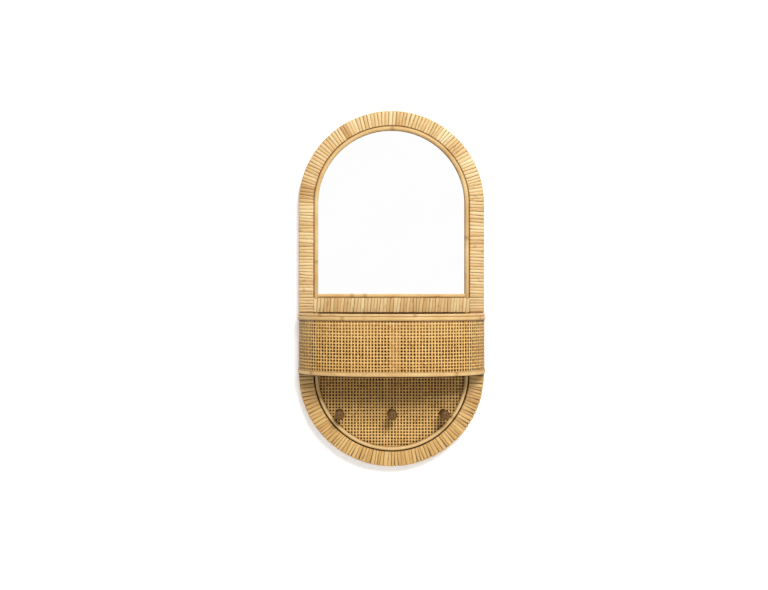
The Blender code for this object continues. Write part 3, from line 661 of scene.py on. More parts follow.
def pole_material(name, shift, shaded=None):
    """Peeled rattan: duller than cane, with pores along it and a brown ring at each knuckle."""
    material, tree, shader = new_material(name, "rattan_pole")
    seed = 5.1
    along, strip = uv_parts(tree)
    tone = use_group(tree, strip_tone, Strip=strip, Seed=seed)
    grain = use_group(tree, fibres, Along=along, Across=tone.outputs["Across"],
                      Number=tone.outputs["Number"], Streak_Length=0.03, Streaks=22.0)
    slow = noise_line(tree, maths(tree, "MULTIPLY_ADD", along, 14.0, seed), 2.0)
    shade = maths(tree, "ADD", maths(tree, "MULTIPLY", grain.outputs["Streak"], 0.45),
                  maths(tree, "MULTIPLY_ADD", slow, 0.6, shift))
    colour = ramp(tree, shade, (0.0, TAN_BROWN), (0.25, AMBER), (0.5, HONEY), (0.75, STRAW),
                  (1.0, PALE_STRAW))
    marks = maths(tree, "MAXIMUM", maths(tree, "MULTIPLY", attribute(tree, "knuckle"), KNUCKLE_STRENGTH),
                  maths(tree, "MULTIPLY", grain.outputs["Stain"], POLE_STAIN))
    colour = paint_crevice_shade(tree, blend_colours(tree, marks, colour, TAN_BROWN))
    # Behind the pocket a shadow is painted on.
    if shaded:
        colour = pocket_shade(tree, colour, *shaded)
    relief = maths(tree, "ADD", grain.outputs["Streak"], grain.outputs["Fine"])
    set_sockets(tree, shader, Base_Color=colour, Normal=bumped(tree, relief, POLE_RELIEF),
                Roughness=maths(tree, "MULTIPLY_ADD", grain.outputs["Fine"], 0.25, 0.36),
                Specular_IOR_Level=0.32)
    return material


rattan_pole = pole_material("peeled_rattan", 0.02)
# This copy gets a painted shadow where the bow pole lies behind the pocket.
shaded_pole = pole_material("peeled_rattan_with_painted_shadow_behind_the_pocket", 0.10, (-0.040, -0.035))
print("poles", rattan_pole.name, shaded_pole.name)

# %% [markdown]
# ## The wound cane
# The bent bands are covered by one flat strip of cane after another, wound edge to edge. On a real frame it
# is a single long strip. Here one turn is modelled from a box as wide as a strip: its long edges are rounded
# like the band's, its ends are opened, and its rims are drawn in so that neighbours meet in a groove. An
# Array modifier repeats the turn, a little code makes each turn its own width and slant, and the row is bent
# round its former. A thread-like screw shape would wind on in one piece, but could not be so uneven.

# %% One turn of cane
STRIP_THICKNESS = 0.00105
STRIP_EDGE_DROP = 0.00075
STRIP_SIDE_DROP = 0.0005
STRIP_TOUCH_DROP = 0.0002
STRIP_EDGE_SHARE = 0.2
STRIP_MARGIN = 0.04


def one_turn(name, pitch, width, depth, crevices=()):
    """One turn of a strip round a band, lying along +X, with the band's front up and its back on z = 0."""
    bpy.ops.object.select_all(action="DESELECT")
    bpy.ops.mesh.primitive_cube_add(size=1, location=(pitch / 2, 0, depth / 2), scale=(pitch, width, depth))
    turn = bpy.context.object
    turn.name = name
    settle(turn)
    bpy.ops.object.mode_set(mode="EDIT")
    pick("EDGE", lambda edge: abs(edge.verts[0].co.x - edge.verts[1].co.x) > pitch / 2)
    bpy.ops.mesh.bevel(offset=BAND_ROUNDING, segments=3, affect="EDGES")
    pick("FACE", lambda face: abs(face.normal.x) > 0.9)
    bpy.ops.mesh.inset(thickness=STRIP_THICKNESS)
    bpy.ops.mesh.bridge_edge_loops()
    inner = width / 2 - STRIP_THICKNESS * 0.97, depth / 2 - STRIP_THICKNESS * 0.97
    pick("EDGE", lambda edge: abs(edge.verts[0].co.x - edge.verts[1].co.x) > pitch / 2
         and not is_inner(edge.verts[0].co, inner, depth))
    bpy.ops.mesh.subdivide(number_cuts=2)
    bpy.ops.object.mode_set(mode="OBJECT")
    points = corners(turn)
    share = points[:, 0] / pitch
    skin = np.array([not is_inner(Vector(point), inner, depth) for point in points])
    rim = skin & ((share < 0.01) | (share > 0.99))
    touching = np.isin(np.sign(points[rim, 1]), [side for side, power in crevices])
    drop = np.where(touching, STRIP_TOUCH_DROP, STRIP_SIDE_DROP)
    points[rim, 1] *= 1 - 2 * drop / width
    points[rim, 2] = depth / 2 + (points[rim, 2] - depth / 2) * (1 - 2 * STRIP_EDGE_DROP / depth)
    shoulder = skin & ~rim
    points[shoulder, 0] = np.where(share[shoulder] < 0.5, STRIP_EDGE_SHARE, 1 - STRIP_EDGE_SHARE) * pitch
    move_corners(turn, points)
    map_round(turn, depth / 2, lambda along, angle, wraps: (
        angle / math.tau * 2 * (width + depth), STRIP_MARGIN + (1 - 2 * STRIP_MARGIN) * along / pitch))
    # Corners near a touching side are marked for painted shade in the crevice there.
    crevice_shade = np.zeros(len(points))
    for side, power in crevices:
        reach = np.clip((side * points[:, 1] - width / 2) / BAND_ROUNDING + 1, 0, 1)
        crevice_shade = np.maximum(crevice_shade, reach ** power)
    mark_corners(turn, "crevice_shade", crevice_shade)
    return turn


def is_inner(point, inner, depth):
    """Whether a corner lies on a turn's inner face, which hugs the wood."""
    across, up = abs(point.y), abs(point.z - depth / 2)
    return across < inner[0] and up < inner[1] and not (
        across > inner[0] - BAND_ROUNDING and up > inner[1] - BAND_ROUNDING
        and math.hypot(across - inner[0] + BAND_ROUNDING, up - inner[1] + BAND_ROUNDING)
        > BAND_ROUNDING)




sample_turn = one_turn("sample_turn", 0.0063, BAND_WIDTH, BAND_DEPTH)
print("one turn", len(sample_turn.data.polygons), "faces", tuple(round(v, 4) for v in sample_turn.dimensions))
bpy.data.objects.remove(sample_turn)


# %% Wind a length of band
OUTER_SIDE_PAINTED_SHADE = 0.22
SLANT_PLAY = 0.16


def wind(name, length, count, width, depth, seed, first_strip, slant=0.0, uneven=0.0, fan=0.0, crevices=(),
         tone_and_painted_light=()):
    """Repeat one turn along +X, then give each turn its own width, place and slant."""
    pitch = length / count
    row = one_turn(name, pitch, width, depth, crevices)
    per_turn = len(row.data.vertices)
    for index in range(len(row.data.uv_layers["run"].data)):
        row.data.uv_layers["run"].data[index].uv.y += first_strip
    apply_modifier(row, "ARRAY", count=count, use_relative_offset=False, use_constant_offset=True,
                   constant_offset_displace=(pitch, 0, 0), offset_u=0.137, offset_v=1.0)
    draw = random.Random(seed)
    widths = np.array([1 + uneven * draw.uniform(-1, 1) for _ in range(count)])
    bounds = np.concatenate(([0], np.cumsum(widths))) * length / widths.sum()
    slants = np.array([slant + draw.uniform(-SLANT_PLAY, SLANT_PLAY) * pitch for _ in range(count + 1)])
    slants[0] = slants[-1] = 0
    heights = np.array([draw.uniform(-1, 0) for _ in range(count)]) * STRIP_THICKNESS * 0.2
    gaps = np.array([draw.random() ** 2 for _ in range(count + 1)]) * fan * pitch
    points = corners(row)
    turn = np.repeat(np.arange(count), per_turn)
    share = points[:, 0] / pitch - turn
    reach = np.clip(points[:, 1] / (width / 2), -1, 1)
    spread = 0.5 * np.clip(reach, 0, 1)
    low = bounds[turn] + slants[turn] * reach + gaps[turn] * spread
    high = bounds[turn + 1] + slants[turn + 1] * reach - gaps[turn + 1] * spread
    points[:, 0] = low + (high - low) * share
    grow = 1 + heights[turn] * 2 / depth
    points[:, 1] *= grow
    points[:, 2] = depth / 2 + (points[:, 2] - depth / 2) * grow
    move_corners(row, points)
    # The band's outer rounding is darkened: painted shade. The listed groups of strips are real darker or
    # paler tone.
    painted_light_and_tone = OUTER_SIDE_PAINTED_SHADE * np.clip((np.abs(points[:, 1]) - width / 2) / BAND_ROUNDING + 1, 0, 1) ** 2
    for middle, spread, amount in tone_and_painted_light:
        painted_light_and_tone += amount * near(turn, middle, spread)
    mark_corners(row, "tone_and_painted_light", painted_light_and_tone)
    smooth(row, 50)
    return row


BANDS = (
    ("arch_cane", arch_former, 0.0065, dict(
        seed=7, first_strip=0, slant=0.0006, uneven=0.18, fan=0.12, crevices=((-1, 8.0),),
        tone_and_painted_light=((32, 2.5, 0.42), (54, 1.2, 0.5), (70, 1.5, 0.12), (86, 2.5, -0.12), (94, 5.0, -0.2),
                 (118, 1.0, 0.2))), wound_cane, "upper_arch_wrap"),
    ("bow_cane", bow_former, 0.0067, dict(
        seed=21, first_strip=200, slant=0.0004, uneven=0.3, fan=0.35, crevices=((-1, 20.0),)),
     honey_cane, "lower_bow_wrap"),
)
for name, former, strip_width, winding, material, node in BANDS:
    length = former_length(former)
    cane = wind(name, length, round(length / strip_width), BAND_WIDTH, BAND_DEPTH, **winding)
    bend(cane, former)
    stand_up(cane)
    finish_piece(cane, "organiser", material, node)

# %% Wind the crossbar
BAR_TURNS = 48
BAR_SAG = 0.0011

bar_length = 2 * (BAND_INNER + FIT)
bar_cane = wind("crossbar_cane", bar_length, BAR_TURNS, 2 * BAR_HALF, BAND_DEPTH, seed=33, first_strip=400,
                slant=0.0014, uneven=0.15, crevices=((-1, 14.0), (1, 5.0)))
set_down(bar_cane, (-bar_length / 2, 0, 0), (math.pi / 2, 0, 0))
bpy.ops.object.mode_set(mode="EDIT")
pick("VERT", lambda corner: corner.co.z < 0)
bpy.ops.transform.translate(value=(0, 0, -BAR_SAG))
bpy.ops.object.mode_set(mode="OBJECT")
finish_piece(bar_cane, "organiser", wound_cane, "crossbar_wrap")


# %% Wind the two joints
JOINT_TURNS = 5


def wind_joint(name, side, seed, first_strip):
    """Five turns over the joint. Their inner side is cut away, and the rest runs on flat to the crossbar."""
    turns = wind(name, 2 * BAR_HALF, JOINT_TURNS, BAND_WIDTH, BAND_DEPTH, seed, first_strip, uneven=0.12)
    cut = BAND_ROUNDING - BAND_WIDTH / 2
    edit_all(turns)
    bpy.ops.mesh.bisect(plane_co=(0, cut, 0), plane_no=(0, -1, 0), use_fill=True, clear_outer=True)
    pick("VERT", lambda corner: corner.co.y < cut + 0.00001)
    bpy.ops.transform.translate(value=(0, -BAND_ROUNDING, 0))
    bpy.ops.object.mode_set(mode="OBJECT")
    set_down(turns, turn=(math.pi / 2, side * math.pi / 2, 0))
    return turns


for name, side, seed, first_strip in (("left", -1, 41, 460), ("right", 1, 43, 470)):
    joint = wind_joint(name + "_joint_cane", side, seed, first_strip)
    set_down(joint, (side * BAND_MIDDLE, 0, side * BAR_HALF))
    finish_piece(joint, "organiser", wound_cane, name + "_joint_wrap")

# %% [markdown]
# ## The poles
# The trims inside the bands, the pocket's hoop and its bindings are thin rattan poles. Each is a cylinder
# with cuts along it so that it can bend. Rattan grows like bamboo, in joints, so a pole has a slightly
# swollen knuckle here and there with a brown ring, and it is never quite straight or even.

# %% One straight pole
POLE_SIDES = 18
POLE_CUT = 0.003
KNUCKLE_SWELL = 0.06
KNUCKLE_REACH = 0.0035


def straight_pole(name, length, width, thickness, seed, knuckles=(), half=False, crevices=()):
    """A pole along +X, width up and thickness outward. A half pole keeps its outward half."""
    bpy.ops.object.select_all(action="DESELECT")
    bpy.ops.mesh.primitive_cylinder_add(vertices=POLE_SIDES, radius=0.5, depth=length,
                                        location=(length / 2, 0, 0), rotation=(0, math.pi / 2, 0))
    pole = bpy.context.object
    settle(pole)
    pole.scale = (1, thickness, width)
    settle(pole)
    bpy.ops.object.mode_set(mode="EDIT")
    if half:
        bpy.ops.mesh.select_all(action="SELECT")
        bpy.ops.mesh.bisect(plane_co=(0, 0, 0), plane_no=(0, 1, 0), use_fill=True, clear_inner=True)
    pick("EDGE", lambda edge: abs(edge.verts[0].co.x - edge.verts[1].co.x) > length / 2)
    bpy.ops.mesh.subdivide(number_cuts=round(length / POLE_CUT / 3))
    pick("EDGE", lambda edge: abs(edge.verts[0].co.x - edge.verts[1].co.x) > POLE_CUT)
    bpy.ops.mesh.subdivide(number_cuts=2)
    bpy.ops.object.mode_set(mode="OBJECT")
    pole.name = pole.data.name = name
    mark_crevices(pole, crevices)
    season(pole, seed, knuckles)
    return pole


def mark_crevices(pole, crevices):
    """Mark the sides where a pole touches its neighbours, each by its angle and its reach in degrees, for
    painted shade there.
    """
    points = corners(pole)
    angles = np.degrees(np.arctan2(points[:, 2], points[:, 1]))
    marks = np.zeros(len(points))
    for angle, reach in crevices:
        marks = np.maximum(marks, near(np.abs((angles - angle + 180) % 360 - 180), 0, reach))
    mark_corners(pole, "crevice_shade", marks)


def season(pole, seed, knuckles):
    """Give a pole its UV map, its swollen knuckles, and the slight unevenness of a grown thing."""
    map_round(pole, 0, lambda along, angle, wraps: (along, 0.5 + 0.49 * (angle / math.pi - wraps)))
    points = corners(pole)
    along = points[:, 0]
    bulge = np.zeros(len(points))
    for place in knuckles:
        bulge = np.maximum(bulge, near(along, place, KNUCKLE_REACH))
    draw = random.Random(seed)
    ripple = sum(draw.uniform(0.2, 0.5) * np.sin(along * draw.uniform(20, 90) + draw.uniform(0, 6))
                 for _ in range(4))
    shrink = 1 - 0.018 - 0.012 * ripple + (KNUCKLE_SWELL - 0.035) * bulge
    points[:, 1:] *= np.minimum(shrink, 1)[:, None]
    move_corners(pole, points)
    mark_corners(pole, "knuckle", bulge)
    smooth(pole, 50)


# %% Poles inside the arch and the bow
TRIM_BACK = 0.0146
TRIM_SINK = 0.0005
# The crevices mark painted shade where each trim meets the band and along its inner underside; on the arch
# that dark line also stands for the trim's shadow and its reflection in the mirror.
TRIMS = (
    ("arch_pole", 0.0088, 0.0085, 0.0001, BAR_HALF - TRIM_SINK, ARCH_SPRING, 3, (0.07, 0.415, 0.71),
     ((0, 38), (-120, 50)), rattan_pole, "arch_trim"),
    ("bow_pole", 0.0085, 0.0069, 0.0018, -BAR_HALF - FIT, BOW_SPRING, 5, (0.21, 0.53),
     ((0, 26), (-130, 45)), shaded_pole, "lower_bow_trim"),
)
for name, depth, thickness, seam, foot, spring, seed, knuckles, crevices, material, node in TRIMS:
    former = half_round_former(name + "_former", BAND_INNER - seam - thickness / 2, foot, spring)
    pole = straight_pole(name, former_length(former), depth, thickness, seed, knuckles, crevices=crevices)
    set_down(pole, (0, 0, TRIM_BACK + depth / 2))
    bend(pole, former)
    stand_up(pole)
    finish_piece(pole, "organiser", material, node)
    bpy.data.objects.remove(former)

# %% The sill pole
SILL_THICKNESS = 0.0082
SILL_HALF_LENGTH = 0.1426

# Its crevices mark painted shade where it rests on the crossbar and against the mirror behind.
sill = straight_pole("mirror_sill_pole", 2 * SILL_HALF_LENGTH, SILL_THICKNESS, SILL_THICKNESS, 8,
                     (0.066, 0.091), crevices=((-90, 20), (20, 45)))
set_down(sill, (-SILL_HALF_LENGTH, -TRIM_BACK - SILL_THICKNESS / 2,
                BAR_HALF + SILL_THICKNESS / 2 - TRIM_SINK))
finish_piece(sill, "organiser", rattan_pole, "mirror_sill_trim")

# %% [markdown]
# ## The poles round the pocket
# Two stacked poles make the pocket's rim: a round one on top, and a split one in front of the weave. A hoop
# stiffens the rim from inside, and another split pole covers the foot of the weave. All four are bent round
# the pocket's plan and sawn off flat where they meet the frame.

# %% Poles round the pocket
PLAN_LENGTH = former_length(plan_former)
HOOP_THICKNESS = 0.008
CAP_THICKNESS = 0.0056
BINDING_THICKNESS = 0.0016
# The crevices mark painted shade where a pole meets the weave, and on the hoop's side that faces into the
# pocket.
POCKET_POLES = (
    ("pocket_hoop", HOOP_THICKNESS, HOOP_THICKNESS, -0.0059, -0.0287, 12, (0.12, 0.4), False,
     ((180, 60),), "pocket_rim_hoop"),
    ("pocket_top_pole", CAP_THICKNESS, CAP_THICKNESS, -0.0017, -0.0208, 13, (0.19, 0.37), False,
     (), "pocket_rim_cap"),
    ("pocket_rim_half_pole", 0.0082, 2 * BINDING_THICKNESS, FIT, -0.0289, 14, (0.05, 0.325), True,
     ((-90, 36),), "pocket_rim_binding"),
    ("pocket_base_half_pole", 0.0078, 2 * BINDING_THICKNESS, FIT, -0.1313, 15, (0.11, 0.39), True,
     ((90, 18),), "pocket_base_binding"),
)


def cut_flush(thing):
    """Saw both ends of a bent piece flat, where they meet the frame."""
    edit_all(thing)
    bpy.ops.mesh.bisect(plane_co=(0, -POCKET_START, 0), plane_no=(0, 1, 0), use_fill=True, clear_outer=True)
    bpy.ops.object.mode_set(mode="OBJECT")


for name, height, thickness, outward, low, seed, knuckles, half, crevices, node in POCKET_POLES:
    pole = straight_pole(name, PLAN_LENGTH, height, thickness, seed, knuckles, half, crevices)
    set_down(pole, (0, outward, low + height / 2))
    bend(pole, plan_former)
    cut_flush(pole)
    finish_piece(pole, "organiser", rattan_pole, node)

# %% [markdown]
# ## The woven cane
# The pocket and the panel are plain weave with open holes: each strand goes over one and under the next. A
# strand is a thin five-sided ring drawn out in steps that climb over a crossing and dip under the next. It
# is repeated with Array modifiers, and the strands the other way are the same sheet turned a quarter, one
# crossing out of step. Real strands differ in width and wander a little, so each gets its own.

# %% One sheet of strands
PITCH = 0.006
STRAND_WIDTH = 0.0028
STRAND_THICKNESS = 0.0007
CLIMB = 0.00036
CROSSING = 0.0024
ROW_JITTER = 0.00016
CROWN_PAINTED_HIGHLIGHT = -0.16
DIP_PAINTED_SHADE = 0.22


def strands(name, length, count, first_strand):
    """Strands along +X, side by side up +Y, each odd one a crossing out of step."""
    bpy.ops.object.select_all(action="DESELECT")
    bpy.ops.mesh.primitive_circle_add(vertices=5, radius=1, fill_type="NOTHING",
                                      location=(-CROSSING / 2, 0, CLIMB), rotation=(0, math.pi / 2, 0))
    sheet = bpy.context.object
    sheet.name = sheet.data.name = name
    bpy.ops.transform.rotate(value=math.pi / 2, orient_axis="X", center_override=sheet.location)
    settle(sheet)
    edit_all(sheet)
    bpy.ops.transform.resize(value=(1, STRAND_WIDTH / 1.902, STRAND_THICKNESS / 1.809),
                             center_override=(-CROSSING / 2, 0, CLIMB))
    for step, rise in ((CROSSING, 0), (PITCH - CROSSING, -2 * CLIMB), (CROSSING, 0),
                       (PITCH - CROSSING, 2 * CLIMB)):
        bpy.ops.mesh.extrude_region_move(TRANSFORM_OT_translate={"value": (step, 0, rise)})
    bpy.ops.mesh.select_all(action="SELECT")
    bpy.ops.mesh.normals_make_consistent(inside=False)
    bpy.ops.object.mode_set(mode="OBJECT")
    map_strand(sheet, first_strand)
    apply_modifier(sheet, "ARRAY", count=math.ceil(length / PITCH / 2) + 1, use_relative_offset=False,
                   use_constant_offset=True, constant_offset_displace=(2 * PITCH, 0, 0),
                   use_merge_vertices=True, merge_threshold=0.00001, offset_u=2 * PITCH)
    neighbour = twin(sheet, name + "_neighbour")
    set_down(neighbour, (-PITCH, PITCH, 0))
    for loop in neighbour.data.uv_layers["run"].data:
        loop.uv.y += 1
    sheet = joined(name, [sheet, neighbour])
    apply_modifier(sheet, "ARRAY", count=math.ceil(count / 2), use_relative_offset=False,
                   use_constant_offset=True, constant_offset_displace=(0, 2 * PITCH, 0), offset_v=2.0)
    return sheet


def map_strand(sheet, first_strand):
    """Map a strand: U is how far along, and V is which strand and how far across it."""
    layer = run_map(sheet)
    for loop in sheet.data.loops:
        point = sheet.data.vertices[loop.vertex_index].co
        layer.data[loop.index].uv = (point.x, first_strand + 0.5 + 0.46 * point.y / (STRAND_WIDTH / 2))


def wander(sheet, seed, row_jitter, narrow):
    """Give each strand its own width, and let it stray a little from its line."""
    draw = random.Random(seed)
    points = corners(sheet)
    strand = np.round(points[:, 1] / PITCH).astype(int)
    count = strand.max() + 1
    off = points[:, 1] - strand * PITCH
    width = np.array([narrow + draw.uniform(-0.13, 0.13) for _ in range(count)])[strand]
    shift = np.array([draw.uniform(-1, 1) * row_jitter for _ in range(count)])[strand]
    wave = np.array([draw.uniform(0, math.tau) for _ in range(count)])[strand]
    sway = np.array([draw.uniform(25, 60) for _ in range(count)])[strand]
    points[:, 1] = strand * PITCH + off * width + shift + row_jitter * np.sin(points[:, 0] * sway + wave)
    move_corners(sheet, points)


def weave(name, across, up, seed, narrow=1.0):
    """A sheet of cane with its lower left crossing at the origin, wider and taller than asked for."""
    rows = strands(name, across, round(up / PITCH) + 2, 0)
    wander(rows, seed, ROW_JITTER, narrow)
    uprights = strands(name + "_uprights", up, round(across / PITCH) + 2, 500)
    wander(uprights, seed + 1, ROW_JITTER, narrow)
    points = corners(uprights)
    move_corners(uprights, np.stack((points[:, 1], points[:, 0], -points[:, 2]), 1))
    sheet = joined(name, [rows, uprights])
    # Strands are lightened where they lie over a crossing and darkened where they dip under: painted highlight
    # and painted shade.
    mark_corners(sheet, "tone_and_painted_light", np.where(corners(sheet)[:, 2] > 0, CROWN_PAINTED_HIGHLIGHT, DIP_PAINTED_SHADE))
    return sheet


def add_tone_and_painted_light(sheet, extra):
    """Add to the tone and painted light that weave() has stored at each corner; more darkens, less lightens.
    """
    values = sheet.data.attributes["tone_and_painted_light"].data
    painted_light_and_tone = np.empty(len(extra), np.float32)
    values.foreach_get("value", painted_light_and_tone)
    values.foreach_set("value", (painted_light_and_tone + extra).astype(np.float32))


def trim_sheet(sheet, keep):
    """Cut off everything past the rule and close the cut ends."""
    only(sheet)
    bpy.ops.object.mode_set(mode="EDIT")
    pick("VERT", lambda corner: not keep(corner.co))
    bpy.ops.mesh.delete(type="VERT")
    bpy.ops.mesh.select_all(action="SELECT")
    bpy.ops.mesh.fill_holes(sides=5)
    bpy.ops.mesh.select_all(action="DESELECT")
    bpy.ops.object.mode_set(mode="OBJECT")
    smooth(sheet, 60)


# %% Weave the lower panel
PANEL_EDGE = 0.1502
PANEL_TOP = -0.0146
PANEL_FOOT = -0.2838
PANEL_BACK = 0.0135
PANEL_COLUMN = 0.004
PANEL_ROW = -0.2148
RIM_SHADE, RIM_SHADE_START, RIM_SHADE_REACH = 0.1, 0.1452, 0.0015
POLE_SHADE, POLE_SHADE_RADIUS, POLE_SHADE_REACH = 0.5, 0.1416, 0.0012
UPPER_PAINTED_SHADE, UPPER_START, UPPER_REACH = 0.12, -0.18, 0.04

left_columns = math.ceil((PANEL_EDGE + PANEL_COLUMN) / PITCH)
lower_rows = math.ceil((PANEL_ROW - PANEL_FOOT) / PITCH)
panel = weave("lower_cane_panel", 2 * PANEL_EDGE, PANEL_TOP - PANEL_FOOT, 61)
set_down(panel, (PANEL_COLUMN - left_columns * PITCH, PANEL_ROW - lower_rows * PITCH, PANEL_BACK))
trim_sheet(panel, lambda point: abs(point.x) < PANEL_EDGE and point.y < PANEL_TOP and (
    point.y > BOW_SPRING or math.hypot(point.x, point.y - BOW_SPRING) < PANEL_EDGE))
# The panel gets painted shade in the groove at its rim and along the bow pole's inner edge, and is darkened
# towards its top under the pocket, also painted shade.
points = corners(panel)
from_middle = np.hypot(points[:, 0], np.minimum(points[:, 1] - BOW_SPRING, 0))
mark_corners(panel, "crevice_shade", np.maximum(
    RIM_SHADE * np.clip((from_middle - RIM_SHADE_START) / RIM_SHADE_REACH, 0, 1),
    POLE_SHADE * near(from_middle, POLE_SHADE_RADIUS, POLE_SHADE_REACH)))
add_tone_and_painted_light(panel, UPPER_PAINTED_SHADE * np.clip((points[:, 1] - UPPER_START) / UPPER_REACH, 0, 1))
stand_up(panel)
finish_piece(panel, "organiser", woven_cane, "lower_webbing")

# %% [markdown]
# ## The board behind the panel
# A thin dark board closes the bow behind the panel. Its near-black colour is its stain and painted shade,
# which keeps the panel's holes dark. It is a disc whose upper part is pulled up to a straight top edge, with
# its sharp edges taken off. It gets its stain with the other woods.

# %% The dark board behind the panel
BOARD_EDGE = 0.1513
BOARD_FRONT = 0.0124
BOARD_THICKNESS = 0.006

bpy.ops.object.select_all(action="DESELECT")
bpy.ops.mesh.primitive_circle_add(vertices=120, radius=BOARD_EDGE, fill_type="NGON",
                                  location=(0, BOW_SPRING, BOARD_FRONT - BOARD_THICKNESS))
board = bpy.context.object
board.name = board.data.name = "dark_panel_board"
settle(board)
bpy.ops.object.mode_set(mode="EDIT")
pick("VERT", lambda corner: corner.co.y > BOW_SPRING + FIT)
bpy.ops.transform.resize(value=(1, 0, 1), center_override=(0, PANEL_TOP, 0))
bpy.ops.mesh.select_all(action="SELECT")
bpy.ops.mesh.extrude_region_move(TRANSFORM_OT_translate={"value": (0, 0, BOARD_THICKNESS)})
pick("EDGE", lambda edge: abs(edge.verts[0].co.z - edge.verts[1].co.z) < FIT)
bpy.ops.mesh.bevel(offset=FIT, segments=1, affect="EDGES")
bpy.ops.mesh.select_all(action="SELECT")
bpy.ops.mesh.normals_make_consistent(inside=False)
bpy.ops.object.mode_set(mode="OBJECT")
stand_up(board)

# %% [markdown]
# ## The pocket's weave
# The pocket is the same cloth, cut to the length of the pocket's plan. It is stood on its edge, turned
# inside out so that its front faces outward, and bent round the plan like the poles.

# %% Weave the pocket
POCKET_TOP = -0.0208
POCKET_FOOT = -0.1324
POCKET_ROW = -0.0334
POCKET_COLUMN = 0.0033
SHEET_INSET = 0.0008
UNDER_RIM_PAINTED_SHADOW, UNDER_RIM_SHADOW_HEIGHT, UNDER_RIM_SHADOW_REACH = 0.85, -0.0292, 0.0016
POCKET_FOOT_DARKENING, DARKENING_MIDDLE, DARKENING_REACH = 0.07, -0.078, 0.045

first_column = (PLAN_LENGTH / 2 - POCKET_COLUMN) % PITCH - PITCH
pocket = weave("pocket_cane", PLAN_LENGTH, POCKET_TOP - POCKET_FOOT, 71, 0.95)
set_down(pocket, (first_column, POCKET_ROW - math.ceil((POCKET_ROW - POCKET_FOOT) / PITCH) * PITCH, 0))
trim_sheet(pocket, lambda point: 0 < point.x < PLAN_LENGTH and POCKET_FOOT < point.y < POCKET_TOP)
points = corners(pocket)
# A painted shadow along the top of the weave, just under the rim's binding.
mark_corners(pocket, "crevice_shade", UNDER_RIM_PAINTED_SHADOW * near(points[:, 1], UNDER_RIM_SHADOW_HEIGHT, UNDER_RIM_SHADOW_REACH))
# The weave is darker towards its foot and lighter towards its top.
add_tone_and_painted_light(pocket, np.clip(-(points[:, 1] - DARKENING_MIDDLE) / DARKENING_REACH, -1, 1) * POCKET_FOOT_DARKENING)
move_corners(pocket, np.stack((points[:, 0], points[:, 2] - SHEET_INSET, points[:, 1]), 1))
edit_all(pocket)
bpy.ops.mesh.flip_normals()
bpy.ops.object.mode_set(mode="OBJECT")
bend(pocket, plan_former)
cut_flush(pocket)
finish_piece(pocket, "organiser", woven_cane, "pocket_webbing")

# %% [markdown]
# ## The pegs
# The pegs are turned on a lathe from dark-stained wood: a thick stem, a little slimmer in its middle, and a
# rounded head with a small hollow. Half of their outline is drawn from one point pulled out step by step,
# and spun round. One peg is made and copied.

# %% Lathe
def smoothed(outline, steps):
    """More points along a smooth line through the outline's points (a Catmull-Rom curve)."""
    line = [outline[0]]
    padded = [outline[0], *outline, outline[-1]]
    for before, start, end, after in zip(padded, padded[1:], padded[2:], padded[3:]):
        for step in range(1, steps + 1):
            t = step / steps
            line.append(tuple(
                0.5 * (2 * b + (c - a) * t + (2 * a - 5 * b + 4 * c - d) * t * t
                       + (3 * b - a - 3 * c + d) * t ** 3)
                for a, b, c, d in zip(before, start, end, after)))
    return line


def turned(name, outline, sides):
    """Draw half an outline of (radius, height) points from one point, and spin it round the Z axis."""
    bpy.ops.object.select_all(action="DESELECT")
    bpy.ops.mesh.primitive_plane_add(size=0.001, location=(outline[0][0], 0, outline[0][1]))
    piece = bpy.context.object
    piece.name = piece.data.name = name
    settle(piece)
    edit_all(piece)
    bpy.ops.mesh.merge(type="CENTER")
    for (radius, height), (next_radius, next_height) in zip(outline, outline[1:]):
        bpy.ops.mesh.extrude_region_move(
            TRANSFORM_OT_translate={"value": (next_radius - radius, 0, next_height - height)})
    bpy.ops.mesh.select_all(action="SELECT")
    bpy.ops.mesh.spin(steps=sides, angle=math.tau, center=(0, 0, 0), axis=(0, 0, 1))
    bpy.ops.mesh.select_all(action="SELECT")
    bpy.ops.mesh.remove_doubles(threshold=0.000002)
    bpy.ops.mesh.normals_make_consistent(inside=False)
    bpy.ops.object.mode_set(mode="OBJECT")
    return piece


def map_flat(piece):
    """Give a turned piece a UV map of its own end view, so that its grain runs along its length."""
    layer = run_map(piece)
    for loop in piece.data.loops:
        point = piece.data.vertices[loop.vertex_index].co
        layer.data[loop.index].uv = (point.x, point.y)


# %% Turn the pegs
PEG_LENGTH = 0.038
PEG_HEAD_RADIUS = 0.0095
PEG_FOOT_Y = -0.0149
PEG_SPACING = 0.10096
PEG_Z = -0.2105
PEG_OUTLINE = ((0.80, 0.04), (0.74, 0.2), (0.72, 0.5), (0.80, 0.62), (0.94, 0.71), (0.98, 0.79), (0.97, 0.87),
               (0.82, 0.95), (0.5, 0.99), (0.25, 0.995), (0.12, 0.975), (0, 0.965))
STEM_FRONT, HEAD_BACK = -0.047, -0.040


